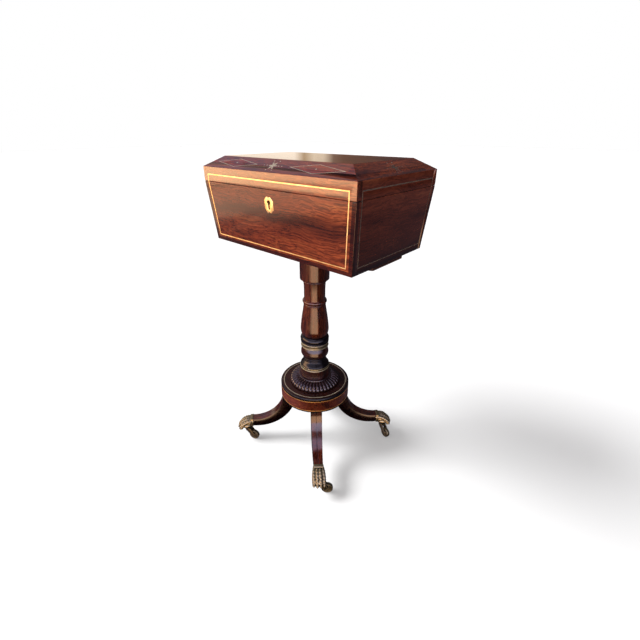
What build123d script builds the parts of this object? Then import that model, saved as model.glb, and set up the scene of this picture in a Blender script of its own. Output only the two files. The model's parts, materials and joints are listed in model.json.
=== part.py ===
from build123d import *
import os
from math import cos, hypot, radians, sin

# Teapoy: a tapered tea chest with a hipped lid, on a turned column, a round platform and four sabre
# legs with lion-paw caps and swivelling casters.  Millimetres, +Z up, front towards -Y, right +X.
# The origin lies on the floor, under the middle of the column.

# ---- driving dimensions ----
# case
case_width = 416.0           # across the front, at the joint between case and lid
case_depth = 264.0           # front to back, at the same height
case_height = 129.0
case_taper = 10.0            # how far each wall leans in over the height of the case
wall = 13.0                  # boards of the case and of the lid's band
bottom_thickness = 10.0
edge_bevel = 1.0             # small bevels on both sides of the joint
joint_gap = 0.4              # between the closed lid and the case

# lid
band_height = 30.5           # upright part of the lid, up to its widest edge
hip_inset = 35.0             # from the widest edge in to the flat top
hip_rise = 20.5
lid_hollow = 29.0            # depth inside the lid
lining_thickness = 2.0

# brass stringing and inlay
string_width = 2.0
string_depth = 1.0
string_side_inset = 14.0     # from the upright edges of each face
string_base_inset = 12.5     # above the bottom edge of the case
string_lid_drop = 14.5       # below the widest edge of the lid
inlay_line = 1.0
lozenge_centre = 108.0       # from the middle of the long slope
lozenge_half_length = 65.0
lozenge_half_height = 13.0
inlay_dot = 1.6              # radius
star_points = 6
star_petal = 12.5            # from the middle of the star to the tip of a petal
star_petal_width = 4.4
star_heart = 4.0
star_dot = 1.4
star_dot_ring = 15.8         # radius of the ring of dots
star_side_dot = 24.0         # from the middle to the dot on either side

# escutcheon and lock
escutcheon_width = 24.0
escutcheon_height = 30.0
escutcheon_corner = 6.5
escutcheon_notch = 1.8
escutcheon_thickness = 1.2
escutcheon_proud = 0.3
keyhole_drop = 28.5          # middle of the escutcheon below the joint
keyhole_radius = 4.4
keyhole_slot = 4.8
keyhole_height = 17.0
lock_width = 44.0
lock_height = 36.0
lock_thickness = 8.0
lock_back_inset = 0.6        # the lock's back plate lies this far inside the board's inner face
lock_plate = 1.2
bolt_length = 16.0
bolt_height = 3.4
bolt_thickness = 2.2
bolt_travel = 6.0
bolt_drop = 6.0              # middle of the bolt below the joint
bolt_clearance = 0.3
staple_width = 8.0
staple_thickness = 4.4
staple_eye = 4.4
staple_length = 10.0
link_plate_width = 30.0
link_plate_depth = 9.0
link_plate_thickness = 1.5
lock_clearance = 0.5

# hinges
hinge_length = 38.0
hinge_spacing = 230.0
knuckle_radius = 2.8
knuckle_stand_off = 3.3      # hinge axis behind the back face of the lid
hinge_pin_radius = 1.2
leaf_thickness = 1.4
leaf_depth = 8.5             # width of the leaf on the edge of the board
knuckle_gap = 0.3
running_clearance = 0.05     # radial, between a turning pin and its hole
screw_radius = 1.1
screw_head_radius = 2.2
screw_head_height = 1.0
screw_length = 9.0
screw_slot_width = 0.6
screw_slot_depth = 0.5

# fitted interior
tray_top_drop = 11.0         # top of the fitted tray below the joint
tray_thickness = 8.0
canister_width = 80.0
canister_depth = 124.0
canister_side_gap = 2.8      # from the case's inner face, at the floor
canister_wall = 6.0
canister_base = 6.0
canister_rise = 2.0          # rim above the tray
fit_clearance = 0.6          # all round a piece that lifts out
seat_clearance = 0.3         # under a loose piece
cover_thickness = 5.0
cover_overhang = 1.0
cover_plug_depth = 5.0
knob_radius = 6.5
knob_neck_radius = 3.0
knob_height = 13.0
bowl_side_gap = 8.0          # between a bowl and the canister beside it
bowl_middle_gap = 5.0        # from the middle of the case to either bowl
bowl_foot_radius = 23.0
bowl_foot_height = 7.0
bowl_wall = 3.0
bowl_rise = 2.0

# bearer under the case
bearer_length = 390.0
bearer_width = 104.0
bearer_thickness = 12.0
bearer_end_thickness = 7.0
bearer_bevel_length = 34.0
bearer_screw_across = 70.0    # between the two lines of screws
bearer_screw_spacing = 100.0
bearer_screw_rows = 4
bearer_screw_radius = 2.2
bearer_screw_head_radius = 4.4
bearer_screw_head_height = 2.2
bearer_screw_length = 17.0

# turned column, from the top down
shaft_length = 224.0
collar_radius = 35.4
collar_length = 73.5
collar_round = 3.0
fillet_radius = 29.3
fillet_length = 5.6
throat_radius = 26.0
throat_length = 46.4
bead_radius = 30.1
bead_length = 9.0
ring_radius = 27.3
ring_length = 5.5
vase_top_radius = 27.3
vase_belly_radius = 35.6
vase_foot_radius = 29.8
vase_belly_height = 16.0     # above the lower end of the vase
torus_length = 19.0
torus_radius = 36.8
torus_top_radius = 30.6
torus_foot_radius = 34.6
torus_bead_radius = 36.2
torus_bead_height = 4.8
upper_ring_length = 13.0
upper_ring_radius = 36.2
ring_groove = 1.0
knop_length = 31.0
knop_radius = 36.0
knop_top_radius = 33.0
knop_foot_radius = 29.4
knop_belly_height = 15.6     # above its lower end
neck_length = 25.0
neck_radius = 28.8
neck_bead_radius = 30.4
neck_foot_radius = 37.4
neck_bead_level = 15.0       # of the lower bead, above the lower end
neck_bead_height = 4.2
lower_ring_length = 8.0
lower_ring_radius = 39.2
foot_length = 44.0
foot_radius = 38.6
dowel_radius = 16.0
top_tenon_radius = 14.0
glue_clearance = 0.05

# gadrooned collar on the platform
gadroon_height = 21.0
gadroon_outer = 67.0
gadroon_lobes = 40
gadroon_band_rise = 3.0       # plain ring inside the lobes
gadroon_band_step = 2.0
gadroon_groove = 1.7
gadroon_foot = 3.0

# platform
platform_radius = 92.0
platform_thickness = 42.0
platform_edge_round = 3.0
platform_bottom = 162.0
platform_top_string = 83.5   # radius to the middle of the ring in the top
platform_string_margin = 8.0
platform_base_margin = 4.6

# legs
leg_root_inner = 52.0
leg_root_outer = 89.0
leg_root_width = 29.0
leg_end_width = 21.5
leg_reach = 177.6
leg_end_bottom = 50.5
leg_end_top = 72.6
leg_under_sag = 35.6
leg_top_sag = 27.9
tenon_width = 12.0
tenon_height = 20.0
tenon_inset = 5.0
tongue_length = 11.0
tongue_shoulder = 2.2

# paw caps
paw_bottom = 37.5
paw_length = 46.0
paw_width = 33.0
paw_toe_height = 19.0
paw_toe_length = 13.0        # rounded front of the paw
cuff_length = 8.0
cuff_proud = 1.6
toe_groove = 1.6
toe_spacing = 7.6
toe_count = 4

# casters
caster_radius = 19.4         # swivel axis beyond the end of the leg
caster_trail = 21.0
wheel_radius = 14.5
wheel_width = 9.0
wheel_crown = 0.8
wheel_hub_radius = 5.5
wheel_dish = 1.8
wheel_rim = 2.6
axle_radius = 2.0
swivel_pin_radius = 3.0
swivel_pin_length = 12.0
swivel_gap = 0.3
horn_boss_radius = 7.0
horn_bridge_reach = 11.6     # of the crown beyond the swivel axis
horn_crown_height = 6.4
horn_cheek = 2.2
horn_side_gap = 0.5
horn_eye_radius = 4.6
rivet_proud = 0.8

# directions in degrees from +X: of each leg, and in which its caster trails
leg_angles = {"front_left": 225, "front_right": 315, "back_right": 45, "back_left": 135}
caster_angles = {"front_left": 23, "front_right": 40, "back_right": -17, "back_left": 12}

# ---- levels and half sizes that follow ----
foot_bottom = platform_bottom + platform_thickness
lower_ring_bottom = foot_bottom + foot_length
neck_bottom = lower_ring_bottom + lower_ring_length
knop_bottom = neck_bottom + neck_length
upper_ring_bottom = knop_bottom + knop_length
torus_bottom = upper_ring_bottom + upper_ring_length
shaft_bottom = torus_bottom + torus_length
bearer_bottom = shaft_bottom + shaft_length
case_bottom_level = bearer_bottom + bearer_thickness
joint_level = case_bottom_level + case_height
case_top = joint_level - joint_gap / 2
lid_bottom = joint_level + joint_gap / 2
widest_level = joint_level + band_height
top_level = widest_level + hip_rise
lid_ceiling = lid_bottom + lid_hollow
half_width = case_width / 2
half_depth = case_depth / 2
floor_inside = case_bottom_level + bottom_thickness
tray_top = joint_level - tray_top_drop
floor_lean = case_taper * (joint_level - floor_inside) / case_height
canister_centre = half_width - floor_lean - wall - canister_side_gap - canister_width / 2
bowl_space = canister_centre - canister_width / 2 - bowl_side_gap - bowl_middle_gap
bowl_radius = bowl_space / 2
bowl_centre = bowl_middle_gap + bowl_radius
beyond = 20.0                # how far a large cutting shape runs past what it cuts
cut_past = 1.0               # the same for a hole or a slot


def lean(level):
    return case_taper * (joint_level - level) / case_height


def prism_x(points, x0, x1):
    return extrude(Plane.YZ.offset(x0) * Polygon(*points, align=None), x1 - x0)


def prism_y(points, y0, y1):
    return extrude(Plane.XZ.offset(-y1) * Polygon(*points, align=None), y1 - y0)


def prism_z(points, z0, z1):
    return extrude(Plane.XY.offset(z0) * Polygon(*points, align=None), z1 - z0)


def block(x0, x1, y0, y1, z0, z1):
    return Pos((x0 + x1) / 2, (y0 + y1) / 2, (z0 + z1) / 2) * Box(x1 - x0, y1 - y0, z1 - z0)


def rod_x(radius, x0, x1, y, z):
    return Pos((x0 + x1) / 2, y, z) * Rot(0, 90, 0) * Cylinder(radius, x1 - x0)


def rod_z(radius, z0, z1, x=0.0, y=0.0):
    return Pos(x, y, (z0 + z1) / 2) * Cylinder(radius, z1 - z0)


def outline_face(*outline):
    return make_face(Wire([edge for piece in outline for edge in piece.edges()]))


def turned(*outline):
    return revolve(Plane.XZ * outline_face(*outline), Axis.Z)


def arc(start, through, end):
    return ThreePointArc(start, through, end)


# ---- case ----
def wall_profile(half, inner_shift, outer_shift=0.0):
    # section through one wall, on its negative side, from the bottom edge to the joint
    low, high = case_bottom_level, case_top
    outer_low, outer_high = half - lean(low) - outer_shift, half - lean(high) - outer_shift
    return [
        (-outer_low, low),
        (-outer_low + inner_shift, low),
        (-outer_high + inner_shift, high),
        (-outer_high + edge_bevel, high),
        (-outer_high + lean(high - edge_bevel) - lean(high), high - edge_bevel),
    ]


def tapered_outline(half, shift, low=case_bottom_level, high=case_top):
    wide, narrow = half - lean(high) - shift, half - lean(low) - shift
    return [(-narrow, low), (narrow, low), (wide, high), (-wide, high)]


def mirrored(points):
    return [(-u, v) for u, v in reversed(points)]


def case_boards():
    reach = half_width + beyond
    ends = prism_y(tapered_outline(half_width, 0), -reach, reach)
    between = prism_x(tapered_outline(half_depth, wall), -reach, reach)
    inside = between & prism_y(tapered_outline(half_width, wall), -reach, reach)
    front_profile = wall_profile(half_depth, wall)
    side_profile = wall_profile(half_width, wall)
    return {
        "case_front": prism_x(front_profile, -reach, reach) & ends,
        "case_back": prism_x(mirrored(front_profile), -reach, reach) & ends,
        "case_left": prism_y(side_profile, -reach, reach) & between,
        "case_right": prism_y(mirrored(side_profile), -reach, reach) & between,
        "case_bottom": inside & block(-reach, reach, -reach, reach, case_bottom_level, floor_inside),
        "fitted_tray": inside & block(-reach, reach, -reach, reach, tray_top - tray_thickness, tray_top),
    }


# ---- lid ----
def hip_outline(half, low=lid_bottom):
    return [
        (-half + edge_bevel, low),
        (half - edge_bevel, low),
        (half, low + edge_bevel),
        (half, widest_level),
        (half - hip_inset, top_level),
        (-half + hip_inset, top_level),
        (-half, widest_level),
        (-half, low + edge_bevel),
    ]


def lid_boards():
    reach = half_width + beyond
    across = prism_y(hip_outline(half_width), -reach, reach)
    along = prism_x(hip_outline(half_depth), -reach, reach)
    body = across & along
    inner_width, inner_depth = half_width - wall, half_depth - wall
    above = top_level + beyond
    sides = block(-reach, reach, -inner_depth, inner_depth, lid_bottom, above)
    core = block(-inner_width, inner_width, -inner_depth, inner_depth, lid_ceiling, above)
    return {
        "lid_front": body & block(-reach, reach, -reach, -inner_depth, lid_bottom, above),
        "lid_back": body & block(-reach, reach, inner_depth, reach, lid_bottom, above),
        "lid_left": body & sides & block(-reach, -inner_width, -reach, reach, lid_bottom, above),
        "lid_right": body & sides & block(inner_width, reach, -reach, reach, lid_bottom, above),
        "lid_top": body & core,
    }


def lid_lining():
    inner_width = half_width - wall - seat_clearance
    inner_depth = half_depth - wall - seat_clearance
    return block(-inner_width, inner_width, -inner_depth, inner_depth,
                 lid_ceiling - lining_thickness, lid_ceiling)


# ---- stringing and inlay ----
def string_frames():
    # an open frame on each face of the case, closed by one on the lid above it
    low = case_bottom_level + string_base_inset
    high = widest_level - string_lid_drop
    case_frames, lid_frames = [], []
    reach = half_width + beyond
    for half, other, prism in ((half_width, half_depth, prism_y), (half_depth, half_width, prism_x)):
        wide = tapered_outline(half, string_side_inset, low, case_top)
        narrow = tapered_outline(half, string_side_inset + string_width, low + string_width, joint_level)
        shell = tapered_outline(other, 0)
        core = tapered_outline(other, string_depth)
        cross = prism_x if prism is prism_y else prism_y
        skin = cross(shell, -reach, reach) - cross(core, -reach, reach)
        frame = (prism(wide, -reach, reach) - prism(narrow, -reach, reach)) & skin
        case_frames.extend(frame.solids())
        outer, inner = half - string_side_inset, half - string_side_inset - string_width
        face = [(-outer, lid_bottom), (outer, lid_bottom), (outer, high), (-outer, high)]
        hole = [(-inner, lid_bottom), (inner, lid_bottom), (inner, high - string_width),
                (-inner, high - string_width)]
        shell = [(-other, lid_bottom), (other, lid_bottom), (other, widest_level), (-other, widest_level)]
        core = [(-other + string_depth, lid_bottom), (other - string_depth, lid_bottom),
                (other - string_depth, widest_level), (-other + string_depth, widest_level)]
        skin = cross(shell, -reach, reach) - cross(core, -reach, reach)
        frame = (prism(face, -reach, reach) - prism(hole, -reach, reach)) & skin
        lid_frames.extend(frame.solids())
    return case_frames, lid_frames


def rhombus(half_length, half_height):
    return Polygon((-half_length, 0), (0, -half_height), (half_length, 0), (0, half_height), align=None)


def lozenge():
    slant = hypot(lozenge_half_length, lozenge_half_height)
    shrink_length = inlay_line * slant / lozenge_half_height
    shrink_height = inlay_line * slant / lozenge_half_length
    inner = rhombus(lozenge_half_length - shrink_length, lozenge_half_height - shrink_height)
    return [rhombus(lozenge_half_length, lozenge_half_height) - inner, Circle(inlay_dot)]


def star():
    petal = rhombus(star_petal / 2, star_petal_width / 2)
    figure = Circle(star_heart)
    dots = [Pos(side * star_side_dot, 0) * Circle(star_dot) for side in (-1, 1)]
    for k in range(star_points):
        turn = Rot(0, 0, 360 / star_points * k)
        figure += turn * Pos(star_petal / 2, 0) * petal
        dots.append(turn * Pos(star_dot_ring, 0) * Circle(star_dot))
    return [figure] + dots


def slope_plane(quarter_turn):
    # plane on the middle of one slope of the lid: 0 front, 1 right, 2 back, 3 left
    turn = Plane((0, 0, 0)).rotated((0, 0, 90 * quarter_turn))
    half = half_depth if quarter_turn % 2 == 0 else half_width
    outward, side = -turn.y_dir, turn.x_dir
    origin = outward * (half - hip_inset / 2) + Vector(0, 0, widest_level + hip_rise / 2)
    return Plane(origin=origin, x_dir=side, z_dir=outward * hip_rise + Vector(0, 0, hip_inset))


def slope_inlay():
    pieces = []
    for quarter_turn in range(4):
        figures = list(star())
        if quarter_turn % 2 == 0:
            for side in (-1, 1):
                figures += [Pos(side * lozenge_centre, 0) * figure for figure in lozenge()]
        plane = slope_plane(quarter_turn)
        pieces += [extrude(plane * figure, -string_depth).solid() for figure in figures]
    return pieces


# ---- escutcheon and lock ----
def face_plane(level):
    # plane on the leaning front face of the case, at a given height
    return Plane(origin=(0, -half_depth + lean(level), level), x_dir=(1, 0, 0),
                 z_dir=(0, -case_height, -case_taper))


def keyhole():
    # cut from outside, through the escutcheon and the board, into the lock but not through its back
    level = joint_level - keyhole_drop
    start = escutcheon_proud + cut_past
    depth = start + wall - lean(level) - lock_back_inset - lock_plate
    round_centre = keyhole_height / 2 - keyhole_radius
    outline = Pos(0, round_centre) * Circle(keyhole_radius)
    slot_height = keyhole_height - keyhole_radius
    outline += Pos(0, -keyhole_height / 2 + slot_height / 2) * Rectangle(keyhole_slot, slot_height)
    return extrude(face_plane(level).offset(start) * outline, -depth)


def escutcheon_blank():
    outline = Rectangle(escutcheon_width, escutcheon_height)
    outline = chamfer(outline.vertices(), escutcheon_corner)
    for side in (-1, 1):
        outline -= Pos(0, side * escutcheon_height / 2) * Circle(escutcheon_notch)
    plane = face_plane(joint_level - keyhole_drop).offset(escutcheon_proud)
    return extrude(plane * outline, -escutcheon_thickness)


def lock_box(margin):
    back = -half_depth + wall - lock_back_inset
    return block(-lock_width / 2 + margin, lock_width / 2 - margin, back - lock_thickness + margin,
                 back - margin, case_top - lock_height + margin, case_top - margin)


def lock_mortise():
    back = -half_depth + wall
    return block(-lock_width / 2, lock_width / 2, back - lock_back_inset - lock_thickness, back + wall,
                 case_top - lock_height, case_top + cut_past)


def lock_middle():
    return -half_depth + wall - lock_back_inset - lock_thickness / 2


def lock_case(key_cut):
    y, half_gap = lock_middle(), lock_clearance
    slot = block(-staple_width / 2 - half_gap, staple_width / 2 + half_gap,
                 y - staple_thickness / 2 - half_gap, y + staple_thickness / 2 + half_gap,
                 case_top - lock_plate - half_gap, case_top + half_gap)
    return lock_box(0) - lock_box(lock_plate) - slot - key_cut


def lock_bolt():
    # at rest the bolt is drawn back, clear of the staple
    tip = -staple_width / 2 - lock_clearance
    y, z = lock_middle(), joint_level - bolt_drop
    return block(tip - bolt_length, tip, y - bolt_thickness / 2, y + bolt_thickness / 2,
                 z - bolt_height / 2, z + bolt_height / 2)


def bolt_guides():
    # two rails inside the lock that carry the bolt and end short of its throw
    y, z = lock_middle(), joint_level - bolt_drop
    inner = lock_thickness / 2 - lock_plate
    tip = -staple_width / 2 - lock_clearance
    rails = []
    for side in (-1, 1):
        near = z + side * (bolt_height / 2 + bolt_clearance)
        far = near + side * lock_plate
        rails.append(block(tip - bolt_length, tip - bolt_travel, y - inner, y + inner,
                           min(near, far), max(near, far)))
    return rails


def link_plate():
    y = lock_middle()
    plate = block(-link_plate_width / 2, link_plate_width / 2, y - link_plate_depth / 2,
                  y + link_plate_depth / 2, lid_bottom, lid_bottom + link_plate_thickness)
    staple = block(-staple_width / 2, staple_width / 2, y - staple_thickness / 2,
                   y + staple_thickness / 2, lid_bottom - staple_length, lid_bottom)
    z = joint_level - bolt_drop
    half_eye = bolt_thickness / 2 + bolt_clearance
    eye = block(-staple_width, staple_width, y - half_eye, y + half_eye,
                z - staple_eye / 2, z + staple_eye / 2)
    return plate + staple - eye


# ---- hinges ----
def hinge_leaves(upper):
    # leaves let into the edges of the back boards, with their knuckles on the hinge axis
    axis_y, axis_z = half_depth + knuckle_stand_off, joint_level
    face = lid_bottom if upper else case_top
    other = face + leaf_thickness if upper else face - leaf_thickness
    low, high = min(face, other), max(face, other)
    knuckle = hinge_length / 5
    hole = hinge_pin_radius + (running_clearance if upper else 0)
    leaves = []
    for side in (-1, 1):
        start = side * hinge_spacing / 2 - hinge_length / 2
        edge = half_depth - edge_bevel
        leaf = block(start, start + hinge_length, half_depth - leaf_depth, edge, low, high)
        for k in range(1 if upper else 0, 5, 2):
            x0, x1 = start + k * knuckle, start + (k + 1) * knuckle
            if upper:
                x0, x1 = x0 + knuckle_gap, x1 - knuckle_gap
            leaf += block(x0, x1, edge, axis_y, low, high)
            leaf += rod_x(knuckle_radius, x0, x1, axis_y, axis_z)
        leaf -= rod_x(hole, start - cut_past, start + hinge_length + cut_past, axis_y, axis_z)
        leaves.append(leaf.solid())
    return leaves


def hinge_pins():
    axis_y = half_depth + knuckle_stand_off
    starts = [side * hinge_spacing / 2 - hinge_length / 2 for side in (-1, 1)]
    return [rod_x(hinge_pin_radius, x, x + hinge_length, axis_y, joint_level) for x in starts]


def screw(head_radius, head_height, radius, length):
    # countersunk screw, pointing down from a head that is flush with z = 0
    head = Pos(0, 0, -head_height / 2) * Cone(radius, head_radius, head_height)
    shank = rod_z(radius, -length, -head_height)
    slot = block(-head_radius, head_radius, -screw_slot_width / 2, screw_slot_width / 2,
                 -screw_slot_depth, screw_slot_depth)
    return head + shank - slot, head + shank


def hinge_screws(upper):
    face = lid_bottom if upper else case_top
    turn = Rot(180, 0, 0) if upper else Rot(0, 0, 0)
    y = half_depth - (leaf_depth + edge_bevel) / 2
    solid, hole = screw(screw_head_radius, screw_head_height, screw_radius, screw_length)
    screws, holes = [], []
    for side in (-1, 1):
        for k in (-1, 0, 1):
            place = Pos(side * hinge_spacing / 2 + k * hinge_length / 3, y, face) * turn
            screws.append(place * solid)
            holes.append(place * hole)
    return screws, holes


# ---- fitted interior ----
def canister_box(side, grow=0.0):
    x, half_x, half_y = side * canister_centre, canister_width / 2 + grow, canister_depth / 2 + grow
    return x - half_x, x + half_x, -half_y, half_y


def canister(side):
    bottom, rim = floor_inside + seat_clearance, tray_top + canister_rise
    body = block(*canister_box(side), bottom, rim)
    return body - block(*canister_box(side, -canister_wall), bottom + canister_base, rim + beyond)


def canister_cover(side):
    rim = tray_top + canister_rise + seat_clearance
    top = rim + cover_thickness
    cover = block(*canister_box(side, cover_overhang), rim, top)
    cover += block(*canister_box(side, -canister_wall - fit_clearance), rim - cover_plug_depth, rim)
    ball_level = top + knob_height - knob_radius
    neck_top = ball_level - (knob_radius ** 2 - knob_neck_radius ** 2) ** 0.5
    knob = turned(
        Polyline((0, top), (knob_neck_radius, top), (knob_neck_radius, neck_top)),
        arc((knob_neck_radius, neck_top), (knob_radius, ball_level), (0, ball_level + knob_radius)),
        Line((0, ball_level + knob_radius), (0, top)),
    )
    return cover + Pos(side * canister_centre, 0, 0) * knob


def bowl(side):
    bottom, rim = floor_inside + seat_clearance, tray_top + bowl_rise
    waist = bowl_foot_radius - bowl_wall
    start = bottom + bowl_foot_height
    sweep = bowl_radius - waist
    shoulder = start + sweep
    inner = sweep - bowl_wall
    diagonal = cos(radians(45))
    glass = turned(
        Polyline((0, bottom), (bowl_foot_radius, bottom), (waist, start)),
        arc((waist, start), (waist + sweep * diagonal, shoulder - sweep * diagonal),
            (bowl_radius, shoulder)),
        Polyline((bowl_radius, shoulder), (bowl_radius, rim), (bowl_radius - bowl_wall, rim),
                 (bowl_radius - bowl_wall, shoulder)),
        arc((bowl_radius - bowl_wall, shoulder), (waist + inner * diagonal, shoulder - inner * diagonal),
            (waist, start + bowl_wall)),
        Polyline((waist, start + bowl_wall), (0, start + bowl_wall), (0, bottom)),
    )
    return Pos(side * bowl_centre, 0, 0) * glass


def tray_openings():
    low, high = tray_top - tray_thickness - beyond, tray_top + beyond
    holes = []
    for side in (-1, 1):
        holes.append(block(*canister_box(side, fit_clearance), low, high))
        holes.append(rod_z(bowl_radius + fit_clearance, low, high, side * bowl_centre))
    return holes


# ---- bearer ----
def bearer():
    half = bearer_length / 2
    low, high = bearer_bottom, case_bottom_level
    end = high - bearer_end_thickness
    outline = [(-half, high), (-half, end), (-half + bearer_bevel_length, low),
               (half - bearer_bevel_length, low), (half, end), (half, high)]
    return prism_y(outline, -bearer_width / 2, bearer_width / 2)


def bearer_screws():
    solid, hole = screw(bearer_screw_head_radius, bearer_screw_head_height, bearer_screw_radius,
                        bearer_screw_length)
    screws, holes = [], []
    for k in range(bearer_screw_rows):
        x = (k - (bearer_screw_rows - 1) / 2) * bearer_screw_spacing
        for side in (-1, 1):
            place = Pos(x, side * bearer_screw_across / 2, bearer_bottom) * Rot(180, 0, 0)
            screws.append(place * solid)
            holes.append(place * hole)
    return screws, holes


# ---- turned column ----
def column_shaft():
    collar_low = bearer_bottom - collar_length
    throat_top = collar_low - fillet_length
    bead_top = throat_top - throat_length
    bead_low = bead_top - bead_length
    vase_top = bead_low - ring_length
    belly = shaft_bottom + vase_belly_height
    shoulder = (vase_top + belly) / 2
    step = ring_length / 4
    groove = ring_groove
    corner = collar_round * (1 - cos(radians(45)))
    return turned(
        Polyline((0, case_bottom_level), (top_tenon_radius, case_bottom_level),
                 (top_tenon_radius, bearer_bottom), (collar_radius, bearer_bottom),
                 (collar_radius, collar_low + collar_round)),
        arc((collar_radius, collar_low + collar_round), (collar_radius - corner, collar_low + corner),
            (collar_radius - collar_round, collar_low)),
        Polyline((collar_radius - collar_round, collar_low), (fillet_radius - groove, collar_low),
                 (fillet_radius - groove, throat_top + fillet_length / 2),
                 (fillet_radius, throat_top + fillet_length / 2), (fillet_radius, throat_top),
                 (throat_radius + groove, throat_top)),
        arc((throat_radius + groove, throat_top), (throat_radius, (throat_top + bead_top) / 2),
            (throat_radius, bead_top)),
        arc((throat_radius, bead_top), (bead_radius, bead_top - bead_length / 2), (throat_radius, bead_low)),
        Polyline((throat_radius, bead_low), (throat_radius, bead_low - step), (ring_radius, bead_low - step),
                 (ring_radius, vase_top + step), (throat_radius, vase_top + step),
                 (throat_radius, vase_top), (vase_top_radius, vase_top)),
        Spline((vase_top_radius, vase_top), ((vase_top_radius + vase_belly_radius) / 2 + groove, shoulder),
               (vase_belly_radius, belly), (vase_foot_radius, shaft_bottom),
               tangents=((groove, -vase_belly_height), (-1, -1))),
        Polyline((vase_foot_radius, shaft_bottom), (dowel_radius, shaft_bottom),
                 (dowel_radius, platform_bottom), (0, platform_bottom), (0, case_bottom_level)),
    )


def sleeve(low, high, *outline):
    # a turned ring on the dowel: the outline runs up its outside
    bore = dowel_radius + glue_clearance
    first, last = outline[0].position_at(0), outline[-1].position_at(1)
    inside = Polyline((last.X, last.Y), (bore, high), (bore, low), (first.X, first.Y))
    return turned(*outline, inside)


def column_torus():
    low, high = torus_bottom, shaft_bottom
    quirk = low + torus_bead_height
    return sleeve(low, high,
                  arc((torus_foot_radius, low), (torus_bead_radius, (low + quirk) / 2),
                      (torus_foot_radius, quirk)),
                  arc((torus_foot_radius, quirk), (torus_radius, quirk + (high - quirk) / 3),
                      (torus_top_radius, high)))


def double_bead(low, height, radius):
    edge, middle = radius - ring_groove, low + height / 2
    return [arc((edge, low), (radius, low + height / 4), (edge, middle)),
            arc((edge, middle), (radius, low + 3 * height / 4), (edge, low + height))]


def column_rings():
    upper = sleeve(upper_ring_bottom, torus_bottom,
                   *double_bead(upper_ring_bottom, upper_ring_length, upper_ring_radius))
    edge, middle = lower_ring_radius - ring_groove, lower_ring_bottom + lower_ring_length / 2
    lower = sleeve(lower_ring_bottom, neck_bottom,
                   arc((edge, lower_ring_bottom), (lower_ring_radius, middle), (edge, neck_bottom)))
    return [upper, lower]


def column_knop():
    low, high = knop_bottom, upper_ring_bottom
    belly = low + knop_belly_height
    return sleeve(low, high, Spline((knop_foot_radius, low), (knop_radius, belly), (knop_top_radius, high),
                                    tangents=((1, 1), (-0.4, 1))))


def column_neck():
    low, high = neck_bottom, knop_bottom
    bead_height = neck_bead_height
    first_bead = low + neck_bead_level
    second_bead = first_bead + bead_height + ring_groove
    foot_lip = low + 2 * ring_groove
    flare_low = neck_foot_radius - ring_groove
    flare_mid = ((flare_low + neck_bead_radius) / 2 - ring_groove, (foot_lip + first_bead) / 2)
    return sleeve(
        low, high,
        Polyline((neck_foot_radius, low), (neck_foot_radius, foot_lip), (flare_low, foot_lip)),
        arc((flare_low, foot_lip), flare_mid, (neck_radius, first_bead)),
        arc((neck_radius, first_bead), (neck_bead_radius, first_bead + bead_height / 2),
            (neck_radius, first_bead + bead_height)),
        Line((neck_radius, first_bead + bead_height), (neck_radius, second_bead)),
        arc((neck_radius, second_bead), (neck_bead_radius, second_bead + bead_height / 2),
            (neck_radius, second_bead + bead_height)),
        Line((neck_radius, second_bead + bead_height), (neck_radius, high)),
    )


def column_foot():
    return rod_z(foot_radius, foot_bottom, lower_ring_bottom) - rod_z(
        dowel_radius + glue_clearance, foot_bottom - cut_past, lower_ring_bottom + cut_past)


# ---- gadrooned collar and platform ----
def gadroon_collar():
    ovolo = gadroon_height - gadroon_foot - gadroon_band_rise
    low = foot_bottom + gadroon_foot
    centre = gadroon_outer - ovolo
    band = centre - gadroon_band_step
    bore = foot_radius + glue_clearance
    top = foot_bottom + gadroon_height
    diagonal = ovolo * cos(radians(45))
    base = gadroon_outer - gadroon_foot
    collar = turned(
        Polyline((bore, foot_bottom), (base, foot_bottom), (base, low), (gadroon_outer, low)),
        arc((gadroon_outer, low), (centre + diagonal, low + diagonal), (centre, low + ovolo)),
        Polyline((centre, low + ovolo), (band, low + ovolo), (band, top), (bore, top), (bore, foot_bottom)),
    )
    # one groove between two lobes follows the quarter round, and repeats round the collar
    section = Plane.XY.offset(low - gadroon_groove) * Pos(gadroon_outer + gadroon_groove / 2, 0) * Circle(
        gadroon_groove)
    upright = extrude(section, gadroon_groove)
    ring = Plane.XY.offset(low) * Pos(gadroon_outer + gadroon_groove / 2, 0) * Circle(gadroon_groove)
    bend = revolve(ring, Axis((centre, 0, low), (0, -1, 0)), 90)
    groove = upright + bend
    return collar - [Rot(0, 0, 360 / gadroon_lobes * k) * groove for k in range(gadroon_lobes)]


def ring_band(inner, outer, low, high):
    return rod_z(outer, low, high) - rod_z(inner, low - cut_past, high + cut_past)


def platform():
    edge = platform_edge_round
    corner = edge * (1 - cos(radians(45)))
    return turned(
        Polyline((dowel_radius + glue_clearance, platform_bottom), (platform_radius, platform_bottom),
                 (platform_radius, foot_bottom - edge)),
        arc((platform_radius, foot_bottom - edge), (platform_radius - corner, foot_bottom - corner),
            (platform_radius - edge, foot_bottom)),
        Polyline((platform_radius - edge, foot_bottom), (dowel_radius + glue_clearance, foot_bottom),
                 (dowel_radius + glue_clearance, platform_bottom)),
    )


def platform_stringing():
    top = ring_band(platform_top_string - string_width / 2, platform_top_string + string_width / 2,
                    foot_bottom - string_depth, foot_bottom)
    upper = foot_bottom - platform_string_margin
    lower = platform_bottom + platform_base_margin
    inner = platform_radius - string_depth
    return [
        top,
        ring_band(inner, platform_radius, upper - string_width, upper),
        ring_band(inner, platform_radius, lower - string_width / 2, lower + string_width / 2),
    ]


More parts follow.
